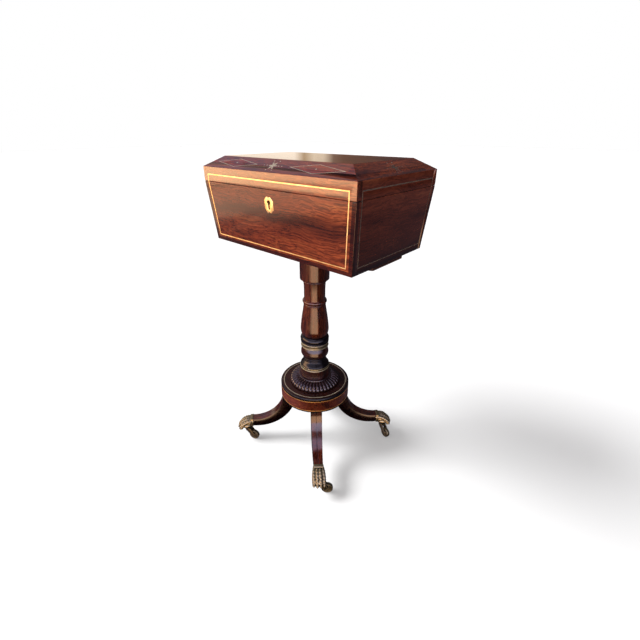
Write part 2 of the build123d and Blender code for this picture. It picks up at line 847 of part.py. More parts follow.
# ---- legs and paws, built along +X ----
def bowed(start, end, sag):
    # arc from start to end that bows below the chord by sag
    run, rise = end[0] - start[0], end[1] - start[1]
    chord = hypot(run, rise)
    middle = ((start[0] + end[0]) / 2 + sag * rise / chord, (start[1] + end[1]) / 2 - sag * run / chord)
    return ThreePointArc(start, middle, end)


def leg():
    inner, outer = (leg_root_inner, platform_bottom), (leg_root_outer, platform_bottom)
    below, above = (leg_reach, leg_end_bottom), (leg_reach, leg_end_top)
    side = Plane.XZ * outline_face(bowed(inner, below, leg_under_sag), Line(below, above),
                                   bowed(outer, above, leg_top_sag), Line(outer, inner))
    slab = extrude(side, leg_root_width, both=True)
    half_root, half_end = leg_root_width / 2, leg_end_width / 2
    plan = [(leg_root_inner - cut_past, -half_root), (leg_root_outer, -half_root), (leg_reach, -half_end),
            (leg_reach, half_end), (leg_root_outer, half_root), (leg_root_inner - cut_past, half_root)]
    body = slab & prism_z(plan, 0, platform_bottom)
    tenon = block(leg_root_inner + tenon_inset, leg_root_outer - tenon_inset, -tenon_width / 2,
                  tenon_width / 2, platform_bottom, platform_bottom + tenon_height)
    half_tongue = half_end - tongue_shoulder
    tongue = block(leg_reach, leg_reach + tongue_length, -half_tongue, half_tongue,
                   leg_end_bottom + tongue_shoulder, leg_end_top - tongue_shoulder)
    return body + tenon + tongue


def paw_cap():
    back = leg_reach + cuff_length
    tip = leg_reach + paw_length
    half_cuff = leg_end_width / 2 + cuff_proud
    cuff = block(leg_reach, back, -half_cuff, half_cuff, leg_end_bottom - cuff_proud,
                 leg_end_top + cuff_proud)
    toe_top = paw_bottom + paw_toe_height
    side = Plane.XZ * outline_face(
        Polyline((leg_reach + cuff_length / 2, leg_end_bottom), (back + tongue_shoulder, paw_bottom),
                 (tip - tongue_shoulder, paw_bottom), (tip, paw_bottom + paw_toe_height / 3),
                 (tip - tongue_shoulder, toe_top)),
        arc((tip - tongue_shoulder, toe_top),
            ((back + tip) / 2 + tongue_shoulder, (toe_top + leg_end_top) / 2 + 2 * tongue_shoulder),
            (leg_reach + cuff_length / 2, leg_end_top)),
        Line((leg_reach + cuff_length / 2, leg_end_top), (leg_reach + cuff_length / 2, leg_end_bottom)),
    )
    slab = extrude(side, paw_width, both=True)
    spread = tip - paw_toe_length
    half_paw = paw_width / 2
    front = outline_face(
        Polyline((spread, half_paw), (leg_reach, half_cuff), (leg_reach, -half_cuff), (spread, -half_paw)),
        arc((spread, -half_paw), (tip, 0), (spread, half_paw)),
    )
    paw = slab & extrude(front, top_level)
    toe_radius = ((tip - spread) ** 2 + half_paw ** 2) / (2 * (tip - spread))
    for k in range(toe_count - 1):
        y = (k - (toe_count - 2) / 2) * toe_spacing
        x = tip - toe_radius + (toe_radius ** 2 - y ** 2) ** 0.5
        paw -= rod_z(toe_groove, 0, top_level, x, y)
    pivot = leg_reach + caster_radius
    hole = rod_z(swivel_pin_radius + running_clearance, 0, paw_bottom + swivel_pin_length, pivot)
    return cuff + paw - hole


# ---- casters, built with the swivel axis at the origin and the wheel trailing along +X ----
def caster_horn():
    high = paw_bottom - swivel_gap
    low = high - horn_crown_height
    inside = wheel_width / 2 + horn_side_gap
    outside = inside + horn_cheek
    crown_back, crown_front = -horn_boss_radius, horn_bridge_reach
    pin = rod_z(swivel_pin_radius, low, high + swivel_pin_length - swivel_gap)
    boss = rod_z(horn_boss_radius, low, high)
    bridge = block(crown_back / 2, crown_front, -outside, outside, low, high)
    bar = Pos((crown_back / 2 + crown_front) / 2, (low + high) / 2) * Rectangle(
        crown_front - crown_back / 2, horn_crown_height)
    eye = Pos(caster_trail, wheel_radius) * Circle(horn_eye_radius)
    cheek = make_hull((bar.edges() + eye.edges()))
    horn = pin + boss + bridge
    for side in (-1, 1):
        near = inside if side > 0 else -outside
        horn += extrude(Plane.XZ.offset(-near - horn_cheek) * cheek, horn_cheek)
    return horn - Pos(caster_trail, 0, wheel_radius) * Rot(90, 0, 0) * Cylinder(axle_radius, 4 * outside)


def caster_axle():
    half = wheel_width / 2 + horn_side_gap + horn_cheek + rivet_proud
    return Pos(caster_trail, 0, wheel_radius) * Rot(90, 0, 0) * Cylinder(axle_radius, 2 * half)


def caster_wheel():
    half = wheel_width / 2
    hub = half + horn_side_gap / 2
    web = half - wheel_dish
    bore = axle_radius + running_clearance
    shoulder = wheel_radius - wheel_crown
    rim = wheel_radius - wheel_rim
    wheel = turned(
        Polyline((shoulder, half), (rim, half), (rim, web), (wheel_hub_radius, web), (wheel_hub_radius, hub),
                 (bore, hub), (bore, -hub), (wheel_hub_radius, -hub), (wheel_hub_radius, -web),
                 (rim, -web), (rim, -half), (shoulder, -half)),
        arc((shoulder, -half), (wheel_radius, 0), (shoulder, half)),
    )
    return Pos(caster_trail, 0, wheel_radius) * Rot(90, 0, 0) * wheel


# ---- assembly ----
def build():
    parts = {}
    parts.update(case_boards())
    parts.update(lid_boards())
    parts["lid_lining"] = lid_lining()

    case_frames, lid_frames = string_frames()
    parts["case_stringing"] = case_frames
    parts["lid_inlay"] = lid_frames + slope_inlay()
    for name in ("case_front", "case_back", "case_left", "case_right"):
        parts[name] -= case_frames
    for name in ("lid_front", "lid_back", "lid_left", "lid_right", "lid_top"):
        parts[name] -= parts["lid_inlay"]

    key_cut = keyhole()
    escutcheon = escutcheon_blank()
    parts["lock_case"] = [lock_case(key_cut)] + bolt_guides()
    parts["lock_bolt"] = lock_bolt()
    parts["link_plate"] = link_plate()
    parts["case_front"] = parts["case_front"] - escutcheon - key_cut - lock_mortise()
    parts["escutcheon"] = escutcheon - key_cut
    parts["lid_front"] -= parts["link_plate"]

    parts["case_hinge_leaves"] = hinge_leaves(False)
    parts["lid_hinge_leaves"] = hinge_leaves(True)
    parts["hinge_pins"] = hinge_pins()
    for upper, board, leaves, screws in ((False, "case_back", "case_hinge_leaves", "case_hinge_screws"),
                                         (True, "lid_back", "lid_hinge_leaves", "lid_hinge_screws")):
        solids, holes = hinge_screws(upper)
        parts[screws] = solids
        parts[board] = parts[board] - parts[leaves] - holes
        parts[leaves] = [leaf - holes for leaf in parts[leaves]]

    parts["fitted_tray"] -= tray_openings()
    for name, side in (("left", -1), ("right", 1)):
        parts[f"canister_{name}"] = canister(side)
        parts[f"canister_cover_{name}"] = canister_cover(side)
        parts[f"bowl_{name}"] = bowl(side)

    solids, holes = bearer_screws()
    parts["bearer_screws"] = solids
    tenon_hole = rod_z(top_tenon_radius + glue_clearance, bearer_bottom - cut_past,
                       case_bottom_level + cut_past)
    parts["bearer"] = bearer() - tenon_hole - holes
    parts["case_bottom"] -= holes

    parts["column_shaft"] = column_shaft()
    parts["column_torus"] = column_torus()
    parts["column_rings"] = column_rings()
    parts["column_knop"] = column_knop()
    parts["column_neck"] = column_neck()
    parts["column_foot"] = column_foot()
    parts["gadroon_collar"] = gadroon_collar()
    parts["platform_stringing"] = platform_stringing()
    parts["platform"] = platform() - parts["platform_stringing"]

    straight_leg, cap = leg(), paw_cap()
    cap -= straight_leg
    pivot = leg_reach + caster_radius
    for name, leg_angle in leg_angles.items():
        turn = Rot(0, 0, leg_angle)
        parts[f"leg_{name}"] = turn * straight_leg
        parts[f"paw_cap_{name}"] = turn * cap
        parts["platform"] -= parts[f"leg_{name}"]
        pivot_x, pivot_y = pivot * cos(radians(leg_angle)), pivot * sin(radians(leg_angle))
        place = Pos(pivot_x, pivot_y, 0) * Rot(0, 0, caster_angles[name])
        parts[f"caster_horn_{name}"] = place * caster_horn()
        parts[f"caster_axle_{name}"] = place * caster_axle()
        parts[f"caster_wheel_{name}"] = place * caster_wheel()
    return parts


os.makedirs("parts", exist_ok=True)
for node, shape in build().items():
    solids = [piece.solid() for piece in shape] if isinstance(shape, list) else shape.solids()
    export_step(Compound(children=solids) if len(solids) > 1 else solids[0], f"parts/{node}.step")
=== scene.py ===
import bpy
from math import atan2, cos, hypot, pi, radians, sin, sqrt
from mathutils import Euler, Matrix, Vector
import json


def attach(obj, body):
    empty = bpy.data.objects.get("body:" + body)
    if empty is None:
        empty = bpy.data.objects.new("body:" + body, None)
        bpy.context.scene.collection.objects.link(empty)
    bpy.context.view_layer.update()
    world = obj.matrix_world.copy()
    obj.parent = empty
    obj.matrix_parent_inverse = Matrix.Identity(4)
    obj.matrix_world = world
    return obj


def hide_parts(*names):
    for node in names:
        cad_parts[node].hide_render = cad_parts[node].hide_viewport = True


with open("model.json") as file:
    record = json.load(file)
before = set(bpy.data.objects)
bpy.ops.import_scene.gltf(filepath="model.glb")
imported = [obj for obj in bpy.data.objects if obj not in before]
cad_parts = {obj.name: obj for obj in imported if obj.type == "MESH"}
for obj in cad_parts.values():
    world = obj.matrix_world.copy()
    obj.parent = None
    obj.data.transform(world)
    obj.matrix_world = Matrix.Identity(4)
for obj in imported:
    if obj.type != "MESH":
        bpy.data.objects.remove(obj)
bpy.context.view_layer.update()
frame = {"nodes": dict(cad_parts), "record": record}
bodies = frame["record"]["behaviour"]["bodies"]
bodyOf = {node: body for body, nodes in bodies.items() for node in nodes}
feet = {"front_left": 225, "front_right": 315, "back_right": 45, "back_left": 135}  # leg directions, degrees


def mm(value):
    return value / 1000


# ---- nodes and colours ----
def linear(hexColour):
    # sRGB hex to the linear values that the shader works in
    parts = [int(hexColour[k:k + 2], 16) / 255 for k in (1, 3, 5)]
    return [c / 12.92 if c <= 0.04045 else ((c + 0.055) / 1.055) ** 2.4 for c in parts] + [1.0]


def feed(tree, socket, value):
    # a socket takes a constant or the output of another node
    if hasattr(value, "is_output"):
        tree.links.new(value, socket)
    else:
        socket.default_value = value


def addNode(tree, kind, settings=None):
    # settings are the node's own properties and its inputs, by name or by number
    node = tree.nodes.new(kind)
    for name, value in (settings or {}).items():
        if isinstance(name, str) and hasattr(node, name):
            setattr(node, name, value)
        else:
            feed(tree, node.inputs[name], value)
    return node


def compute(tree, operation, *values):
    settings = {"operation": operation, **dict(enumerate(values))}
    return addNode(tree, "ShaderNodeMath", settings).outputs["Value"]


def vectorMath(tree, operation, *values, **inputs):
    settings = {"operation": operation, **dict(enumerate(values)), **inputs}
    return addNode(tree, "ShaderNodeVectorMath", settings).outputs["Vector"]


def mix(tree, blend, factor, first, second):
    settings = {"data_type": "RGBA", "blend_type": blend, 0: factor, 6: first, 7: second}
    return addNode(tree, "ShaderNodeMix", settings).outputs[2]


def rescale(tree, value, low, high, start=0.0, end=1.0):
    # carries the stretch from start to end onto low to high, and goes no further
    settings = {"From Min": start, "From Max": end, "To Min": low, "To Max": high, "Value": value}
    return addNode(tree, "ShaderNodeMapRange", settings).outputs["Result"]


def addNoise(tree, place, size, detail=2.0, roughness=0.5):
    # noise whose patches are about size mm across
    settings = {"Scale": 1 / mm(size), "Detail": detail, "Roughness": roughness, "Vector": place}
    return addNode(tree, "ShaderNodeTexNoise", settings).outputs


def addRamp(tree, source, stops):
    # colour ramp: stops are (position, hex colour)
    node = addNode(tree, "ShaderNodeValToRGB", {"Fac": source})
    elements = node.color_ramp.elements
    while len(elements) < len(stops):
        elements.new(0.5)
    for element, (position, hexColour) in zip(elements, stops):
        element.position = position
        element.color = linear(hexColour)
    return node.outputs["Color"]


def connect(tree, shader, **sockets):
    for socket, value in sockets.items():
        feed(tree, shader.inputs[socket.replace("_", " ")], value)


def startMaterial(name, **settings):
    material = bpy.data.materials.new(name)
    material.use_nodes = True
    tree = material.node_tree
    shader = tree.nodes["Principled BSDF"]
    connect(tree, shader, **settings)
    return material, tree, shader


def addBump(tree, shader, height, strength, distance):
    bump = addNode(tree, "ShaderNodeBump", {"Strength": strength, "Distance": mm(distance), "Height": height})
    connect(tree, shader, Normal=bump.outputs["Normal"])


def grainPlace(tree, turn=(0, 0, 0), shift=(0, 0, 0)):
    # object coordinates, turned so that the grain runs along X
    place = addNode(tree, "ShaderNodeTexCoord").outputs["Object"]
    settings = {"Rotation": [radians(a) for a in turn], "Location": shift, "Vector": place}
    return addNode(tree, "ShaderNodeMapping", settings).outputs["Vector"]


def objectAxes(tree):
    place = addNode(tree, "ShaderNodeTexCoord").outputs["Object"]
    return addNode(tree, "ShaderNodeSeparateXYZ", {"Vector": place}).outputs


# rosewood under french polish: red-brown with long wavy figure and darker streaks, under a deep gloss
rosewood = {
    "colours": ("#4a1c12", "#74331a", "#843d1e", "#a0532a"),  # from the dark figure to the pale
    "figure": 26.0, "drift": 11.0, "driftSize": 150.0,  # mm: width of the figure, how far and fast it wanders
    "ripple": 1.6, "rippleSize": 28.0, "streak": 2.6, "fine": 0.6,  # mm: small waves, streaks and fine grain
    "stretch": 0.035, "roughness": (0.13, 0.22), "coat": 0.3, "bump": 0.1, "contrast": 0.85,
}


def wandering(tree, along, look):
    # carries the grain sideways in slow waves and small ripples
    for reach, size in ((look["drift"], look["driftSize"]), (look["ripple"], look["rippleSize"])):
        wave = addNoise(tree, along, size, 1.0)["Color"]
        centred = vectorMath(tree, "SUBTRACT", wave, (0.5, 0.5, 0.5))
        along = vectorMath(tree, "MULTIPLY_ADD", centred, [mm(reach * 4)] * 3, along)
    return along


def grainNoise(tree, along, width, stretch, detail, roughness):
    # noise of the given width across the board, drawn out along it
    drawn = addNode(tree, "ShaderNodeMapping", {"Scale": (stretch, 1, 1), "Vector": along}).outputs["Vector"]
    return addNoise(tree, drawn, width, detail, roughness)["Fac"]


def woodMaterial(name, look, turn=(0, 0, 0), shift=(0, 0, 0), tint=None):
    material, tree, shader = startMaterial(name, Coat_Weight=look["coat"], Coat_Roughness=0.1)
    along = wandering(tree, grainPlace(tree, turn, shift), look)
    figure = grainNoise(tree, along, look["figure"], look["stretch"] * 2, 3.0, 0.5)
    streak = grainNoise(tree, along, look["streak"], look["stretch"], 3.0, 0.6)
    fine = grainNoise(tree, along, look["fine"], look["stretch"] * 0.6, 1.0, 0.5)
    ground = addRamp(tree, figure, list(zip((0.30, 0.43, 0.58, 0.74), look["colours"])))
    streaks = addRamp(tree, streak, [(0.32, "#503c40"), (0.46, "#b8aaac"), (0.60, "#ffffff")])
    lines = addRamp(tree, fine, [(0.30, "#6c5a5a"), (0.52, "#ffffff")])
    colour = mix(tree, "MULTIPLY", look["contrast"], ground, streaks)
    colour = mix(tree, "MULTIPLY", 0.6, colour, lines)
    if tint:
        colour = tint(tree, colour, streak)
    connect(tree, shader, Base_Color=colour, Roughness=rescale(tree, streak, *look["roughness"]))
    addBump(tree, shader, fine, look["bump"], 0.12)
    return material


# the chest's main sizes in mm, which its boards and its veneers both follow
chest = {
    "halfWidth": 208, "halfDepth": 132, "taper": 10, "height": 129, "joint": 709, "bottom": 580,
    "widest": 739.5, "top": 760, "hipInset": 35, "hipRise": 20.5, "arris": 0.7, "border": 8.4,
    "onPlane": 0.06, "worn": 1.2,  # how near to the outer planes an arris and a veneered face lie
}
# the lozenges of the long slopes, which have a lighter, redder veneer within their brass lines
lozenge = {"centre": 108, "halfLength": 65, "halfHeight": 13, "middleLevel": 749.75}


def shaded(tree, colour, place, reach, stops):
    # multiplies a colour by a ramp that runs over a stretch of one axis, in mm
    share = rescale(tree, place, 0, 1, mm(reach[0]), mm(reach[1]))
    return mix(tree, "MULTIPLY", 1.0, colour, addRamp(tree, share, stops))


def edgeTint(tree, colour, across, half, shade):
    # the band of veneer outside the brass line of the case is darker
    slope, level = chest["taper"] / chest["height"], objectAxes(tree)["Z"]
    lean = compute(tree, "MULTIPLY_ADD", level, -slope, mm(slope * chest["joint"]))
    reach = compute(tree, "ADD", compute(tree, "ABSOLUTE", across), lean)
    beyond = compute(tree, "GREATER_THAN", reach, mm(half - chest["border"]))
    below = compute(tree, "LESS_THAN", level, mm(chest["bottom"] + chest["border"]))
    inCase = compute(tree, "LESS_THAN", level, mm(chest["joint"]))
    share = compute(tree, "MULTIPLY", compute(tree, "MAXIMUM", beyond, below), inCase)
    return mix(tree, "MIX", share, colour, mix(tree, "MULTIPLY", 1.0, colour, linear(shade)))


def frontTint(tree, colour, streak):
    # one broad dark wave across the middle of the front board, redder wood to the right of it
    axes = objectAxes(tree)
    colour = shaded(tree, colour, axes["X"], (-200, 200),
                    [(0.0, "#c8b8bc"), (0.55, "#dcccc8"), (1.0, "#ffffff")])
    sway = addNoise(tree, grainPlace(tree, shift=(0.2, 0.4, 0.1)), 70)["Fac"]
    wave = compute(tree, "MULTIPLY_ADD", sway, mm(32), axes["Z"])
    level = compute(tree, "MULTIPLY_ADD", streak, mm(9), wave)
    dark = shaded(tree, (1, 1, 1, 1), level, (656, 716),
                  [(0.0, "#ffffff"), (0.30, "#8c7478"), (0.50, "#5c484c"), (0.62, "#b09a9a"),
                   (0.80, "#ffffff")])
    fade = rescale(tree, axes["X"], 0.9, 0.45, mm(10), mm(150))
    colour = mix(tree, "MULTIPLY", fade, colour, dark)
    return edgeTint(tree, colour, axes["X"], chest["halfWidth"], "#80686a")


def sideTint(tree, colour, streak):
    # the ends of the case darken towards the bottom
    axes = objectAxes(tree)
    colour = shaded(tree, colour, axes["Z"], (chest["bottom"], chest["joint"]),
                    [(0.0, "#807478"), (0.45, "#c8bcbc"), (0.9, "#ffffff")])
    return edgeTint(tree, colour, axes["Y"], chest["halfDepth"], "#a89498")


def lozengeTint(tree, colour, streak):
    axes = objectAxes(tree)
    away = compute(tree, "SUBTRACT", compute(tree, "ABSOLUTE", axes["X"]), mm(lozenge["centre"]))
    up = compute(tree, "SUBTRACT", axes["Z"], mm(lozenge["middleLevel"]))
    slant = hypot(chest["hipInset"], chest["hipRise"]) / chest["hipRise"]
    length = compute(tree, "DIVIDE", compute(tree, "ABSOLUTE", away), mm(lozenge["halfLength"]))
    reach = compute(tree, "MULTIPLY_ADD", compute(tree, "ABSOLUTE", up),
                    slant / mm(lozenge["halfHeight"]), length)
    outside, inside = [mix(tree, "MULTIPLY", 1.0, colour, linear(tone)) for tone in ("#dcccd0", "#f4dcd6")]
    return mix(tree, "MIX", compute(tree, "LESS_THAN", reach, 1.0), outside, inside)


endways, upright = (0, 0, -90), (0, 90, 0)
# a brighter copy of the rosewood for the front of the case and the fitted tray: painted light for the front
# that faces the light
litFrontRosewood = dict(rosewood, colours=("#6a2816", "#9c4624", "#b0522a", "#c86e38"))
endRosewood = dict(rosewood, colours=("#6a2e20", "#84402c", "#944a32", "#a45a3e"), contrast=0.5)
topRosewood = dict(rosewood, roughness=(0.03, 0.06), bump=0.01)
# a darker copy of the rosewood for the knop and the foot of the column: painted shade below the chest
shadedKnopRosewood = dict(rosewood, colours=("#220c08", "#3c170e", "#4a1e12", "#602a18"))
rimRosewood = dict(rosewood, colours=("#40180f", "#6c2e1a", "#7c3620", "#904426"))
# a near-black copy of the rosewood for the top of the platform: painted shade under the chest
shadedDiscRosewood = dict(rosewood, colours=("#140807", "#26100b", "#30140d", "#401c12"))
# a darker copy of the rosewood for the legs: painted shade
shadedLegRosewood = dict(rosewood, colours=("#2c110b", "#4a1d11", "#5a2515", "#70331c"))
shadeRosewood = dict(rosewood, colours=("#0c0406", "#1a090a", "#220d0c", "#2e1310"), bump=0.04)
carvedRosewood = dict(rosewood, colours=("#12080a", "#241014", "#2c1416", "#3c1c1a"))
mahogany = dict(rosewood, colours=("#2a140c", "#42200f", "#4e2816", "#5e3520"), coat=0.0,
                roughness=(0.45, 0.6))

veneerFront = woodMaterial("rosewoodVeneerAcross", litFrontRosewood, tint=frontTint)
veneerSide = woodMaterial("rosewoodVeneerDeep", endRosewood, endways, (0.31, 0.12, 0), sideTint)
veneerTop = woodMaterial("rosewoodVeneerTop", topRosewood, shift=(0.7, 0.4, 0.1))
turnedWood = woodMaterial("rosewoodTurned", rosewood, upright, (0.2, 0.5, 0.3))
turnedShaded = woodMaterial("rosewoodTurnedShaded", shadedKnopRosewood, upright, (0.8, 0.1, 0.3))
platformWood = woodMaterial("rosewoodPlatform", rimRosewood, shift=(1.3, 0.2, 0.6))
platformShadedTop = woodMaterial("rosewoodPlatformTopShade", shadedDiscRosewood, shift=(0.3, 0.9, 0.6))
innerWood = woodMaterial("mahoganyCarcase", mahogany)
legWood = {name: woodMaterial("rosewoodLeg_" + name, shadedLegRosewood, (0, 0, -angle), (0.4, 0.3, 0.2))
           for name, angle in feet.items()}
legShade = woodMaterial("rosewoodLegShade", shadeRosewood, shift=(0.5, 0.2, 0.9))

# ebonised wood: stained black and polished, a faint grain under a bluish gloss
ebonised, tree, shader = startMaterial("ebonisedWood", Specular_IOR_Level=0.3)
grain = grainNoise(tree, grainPlace(tree, upright), 1.2, 0.08, 3.0, 0.5)
connect(tree, shader, Base_Color=addRamp(tree, grain, [(0.35, "#050507"), (0.60, "#0e0c11")]),
        Roughness=rescale(tree, grain, 0.14, 0.22))
addBump(tree, shader, grain, 0.1, 0.1)


# polished sheet brass, scoured and lacquered: yellow with fine scratches and slight tarnish
def brassMaterial(name, bright, dull, roughness, metallic=1.0):
    material, tree, shader = startMaterial(name, Metallic=metallic)
    place = grainPlace(tree)
    tarnish = addNoise(tree, place, 14, 4.0, 0.6)["Fac"]
    scratch = addNoise(tree, place, 0.8)["Fac"]
    connect(tree, shader, Base_Color=addRamp(tree, tarnish, [(0.32, dull), (0.58, bright)]),
            Roughness=rescale(tree, scratch, *roughness))
    addBump(tree, shader, scratch, 0.08, 0.08)
    return material


stringBrass = brassMaterial("inlaidBrass", "#fbe6a8", "#e2c080", (0.42, 0.52))
# a dull, greyish copy of the inlaid brass for the lines on the ends of the case: painted shade
shadedSideBrass = brassMaterial("inlaidBrassShaded", "#8c7c6c", "#6a5c54", (0.5, 0.6), metallic=0.4)
slopeBrass = brassMaterial("inlaidBrassPale", "#a89e88", "#80746a", (0.42, 0.52), metallic=0.4)
amberBrass = brassMaterial("inlaidBrassAmber", "#d09450", "#a06c38", (0.42, 0.52), metallic=0.4)
# a dark copy of the inlaid brass for the lines on the end slopes of the lid: painted shade
shadedEndBrass = brassMaterial("inlaidBrassEndShade", "#5c5046", "#4a3e36", (0.5, 0.6), metallic=0.3)
turnedBrass = brassMaterial("turnedBrass", "#b8b090", "#847c60", (0.24, 0.36), metallic=0.7)
dullSteel = brassMaterial("dullSteel", "#8d8a86", "#5b5651", (0.4, 0.55))


# cast brass, never polished in the hollows: golden on the high places, dark olive patina below
def castMaterial(name, hollows, sides, edges):
    material, tree, shader = startMaterial(name)
    place = grainPlace(tree)
    hollow = addNode(tree, "ShaderNodeAmbientOcclusion", {"samples": 8, "Distance": mm(5)}).outputs["AO"]
    cloud = addNoise(tree, place, 7, 5.0, 0.65)["Fac"]
    sand = addNoise(tree, place, 0.7)["Fac"]
    worn = compute(tree, "MULTIPLY_ADD", cloud, 0.35, hollow)
    connect(tree, shader, Base_Color=addRamp(tree, worn, [(0.60, hollows), (0.82, sides), (1.0, edges)]),
            Metallic=rescale(tree, worn, 0.2, 0.85, 0.6, 1.05),
            Roughness=rescale(tree, worn, 0.62, 0.30, 0.5, 1.1))
    addBump(tree, shader, sand, 0.25, 0.12)
    return material


castBrass = castMaterial("castBrass", "#080806", "#2c281a", "#8a8266")
casterBrass = castMaterial("castBrassDark", "#060604", "#201e16", "#6e6850")

# cotton velvet, worn: deep crimson with a pale edge where it is seen sideways
velvet, tree, shader = startMaterial("crimsonVelvet", Sheen_Weight=0.7, Sheen_Roughness=0.4,
                                     Sheen_Tint=linear("#c86a70"), Roughness=0.9)
place = grainPlace(tree)
pile = addNoise(tree, place, 0.9, 3.0)["Fac"]
wear = addNoise(tree, place, 40, 4.0)["Fac"]
pileColour = addRamp(tree, pile, [(0.3, "#2a0508"), (0.7, "#6a1018")])
wearColour = addRamp(tree, wear, [(0.35, "#3c070c"), (0.7, "#701a20")])
connect(tree, shader, Base_Color=mix(tree, "MIX", 0.5, pileColour, wearColour))
addBump(tree, shader, pile, 0.5, 0.4)

# blown flint glass: clear, faintly grey-green
bowlGlass, tree, shader = startMaterial("flintGlass", Roughness=0.03, IOR=1.54, Transmission_Weight=1.0)
cloud = addNoise(tree, grainPlace(tree), 20)["Fac"]
connect(tree, shader, Base_Color=addRamp(tree, cloud, [(0.3, "#e8f0ec"), (0.7, "#f4f8f6")]))
print("materials made")


# ---- helpers for the pieces ----
def deselectAll():
    if bpy.context.object and bpy.context.object.mode != "OBJECT":
        bpy.ops.object.mode_set(mode="OBJECT")
    bpy.ops.object.select_all(action="DESELECT")


def pick(piece):
    deselectAll()
    piece.select_set(True)
    bpy.context.view_layer.objects.active = piece


def edit():
    bpy.ops.object.mode_set(mode="EDIT")
    bpy.ops.mesh.select_all(action="SELECT")


def leaveEdit():
    bpy.ops.object.mode_set(mode="OBJECT")


def addObject(name, data):
    thing = bpy.data.objects.new(name, data)
    bpy.context.collection.objects.link(thing)
    return thing


def selectWhere(piece, kind, wanted):
    # kind is "VERT", "EDGE" or "FACE"; wanted gets the mesh and one element
    bpy.ops.object.mode_set(mode="EDIT")
    bpy.ops.mesh.select_mode(type=kind)
    bpy.ops.mesh.select_all(action="DESELECT")
    bpy.ops.object.mode_set(mode="OBJECT")
    mesh = piece.data
    for element in {"VERT": mesh.vertices, "EDGE": mesh.edges, "FACE": mesh.polygons}[kind]:
        element.select = bool(wanted(mesh, element))
    bpy.ops.object.mode_set(mode="EDIT")


def selectSharp(sharpness):
    bpy.ops.mesh.select_mode(type="EDGE")
    bpy.ops.mesh.select_all(action="DESELECT")
    bpy.ops.mesh.edges_select_sharp(sharpness=radians(sharpness))


def bevelEdges(width):
    bpy.ops.mesh.bevel(offset=mm(width), segments=2, affect="EDGES", clamp_overlap=True)


def pull(x, y, z):
    bpy.ops.mesh.extrude_region_move(TRANSFORM_OT_translate={"value": (mm(x), mm(y), mm(z))})


def faceOutwards():
    bpy.ops.mesh.select_all(action="SELECT")
    bpy.ops.mesh.normals_make_consistent(inside=False)


def applyModifier(piece, kind, **settings):
    pick(piece)
    modifier = piece.modifiers.new(kind.lower(), kind)
    for name, value in settings.items():
        setattr(modifier, name, value)
    bpy.ops.object.modifier_apply(modifier=modifier.name)


def joined(pieces, name):
    deselectAll()
    for piece in pieces:
        piece.select_set(True)
    bpy.context.view_layer.objects.active = pieces[0]
    bpy.ops.object.join()
    pieces[0].name = name
    return pieces[0]


def copiesRound(first, label):
    # a copy of a piece for each leg, turned to its place
    for name, angle in feet.items():
        copy = addObject(label + name, first.data.copy())
        copy.rotation_euler = (0, 0, radians(angle))
        yield name, angle, copy
    bpy.data.objects.remove(first)


def dress(mesh, finishes, choose=None):
    # gives a mesh its finishes, and each face the one whose number choose picks
    mesh.materials.clear()
    for finish in finishes:
        mesh.materials.append(finish)
    for face in mesh.polygons if choose else ():
        face.material_index = choose(face)


def seat(piece, nodes, finishes, smooth=35, choose=None):
    # settles a finished piece at the origin and lets it stand for its CAD nodes
    pick(piece)
    bpy.ops.object.transform_apply(location=True, rotation=True, scale=True)
    bpy.ops.object.shade_smooth_by_angle(angle=radians(smooth))
    dress(piece.data, finishes, choose)
    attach(piece, bodyOf[nodes[0]])
    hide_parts(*nodes)
    return piece


def softened(node, width, onEdge=None, sharpness=30):
    # a merged copy of a CAD node with its sharp edges rounded, or only those that onEdge names
    piece = addObject(node + "_finished", frame["nodes"][node].data.copy())
    pick(piece)
    edit()
    bpy.ops.mesh.remove_doubles(threshold=mm(0.004))
    bpy.ops.mesh.dissolve_limited(angle_limit=radians(0.4))
    if onEdge:
        selectWhere(piece, "EDGE",
                    lambda mesh, edge: all(onEdge(mesh.vertices[k].co * 1000) for k in edge.vertices))
    else:
        selectSharp(sharpness)
    if width:
        bevelEdges(width)
    leaveEdit()
    return piece


def onBow(start, end, bulge, t):
    # a point on an arc that swells by bulge to the right of the way from start to end
    run, rise = end[0] - start[0], end[1] - start[1]
    chord, depth, side = hypot(run, rise), abs(bulge), 1 if bulge > 0 else -1
    radius = (chord ** 2 / 4 + bulge ** 2) / (2 * depth)
    half = atan2(chord / 2, radius - depth)
    out = (rise / chord * side, -run / chord * side)
    centre = [(a + b) / 2 - way * (radius - depth) for a, b, way in zip(start, end, out)]
    angle = half * (2 * t - 1)
    return (centre[0] + radius * (out[0] * cos(angle) + run / chord * sin(angle)),
            centre[1] + radius * (out[1] * cos(angle) + rise / chord * sin(angle)))


def bow(start, end, bulge, steps=8):
    # the points after start on such an arc
    return [onBow(start, end, bulge, k / steps) for k in range(1, steps + 1)]


def flow(knots, steps=8):
    # a smooth outline through knots (radius, height, and the direction there)
    points = [knots[0][:2]]
    for (r0, z0, u0, w0), (r1, z1, u1, w1) in zip(knots, knots[1:]):
        for k in range(1, steps + 1):
            t = k / steps
            a, b = 2 * t ** 3 - 3 * t ** 2 + 1, t ** 3 - 2 * t ** 2 + t
            c, d = 3 * t ** 2 - 2 * t ** 3, t ** 3 - t ** 2
            points.append((a * r0 + b * u0 + c * r1 + d * u1, a * z0 + b * w0 + c * z1 + d * w1))
    return points


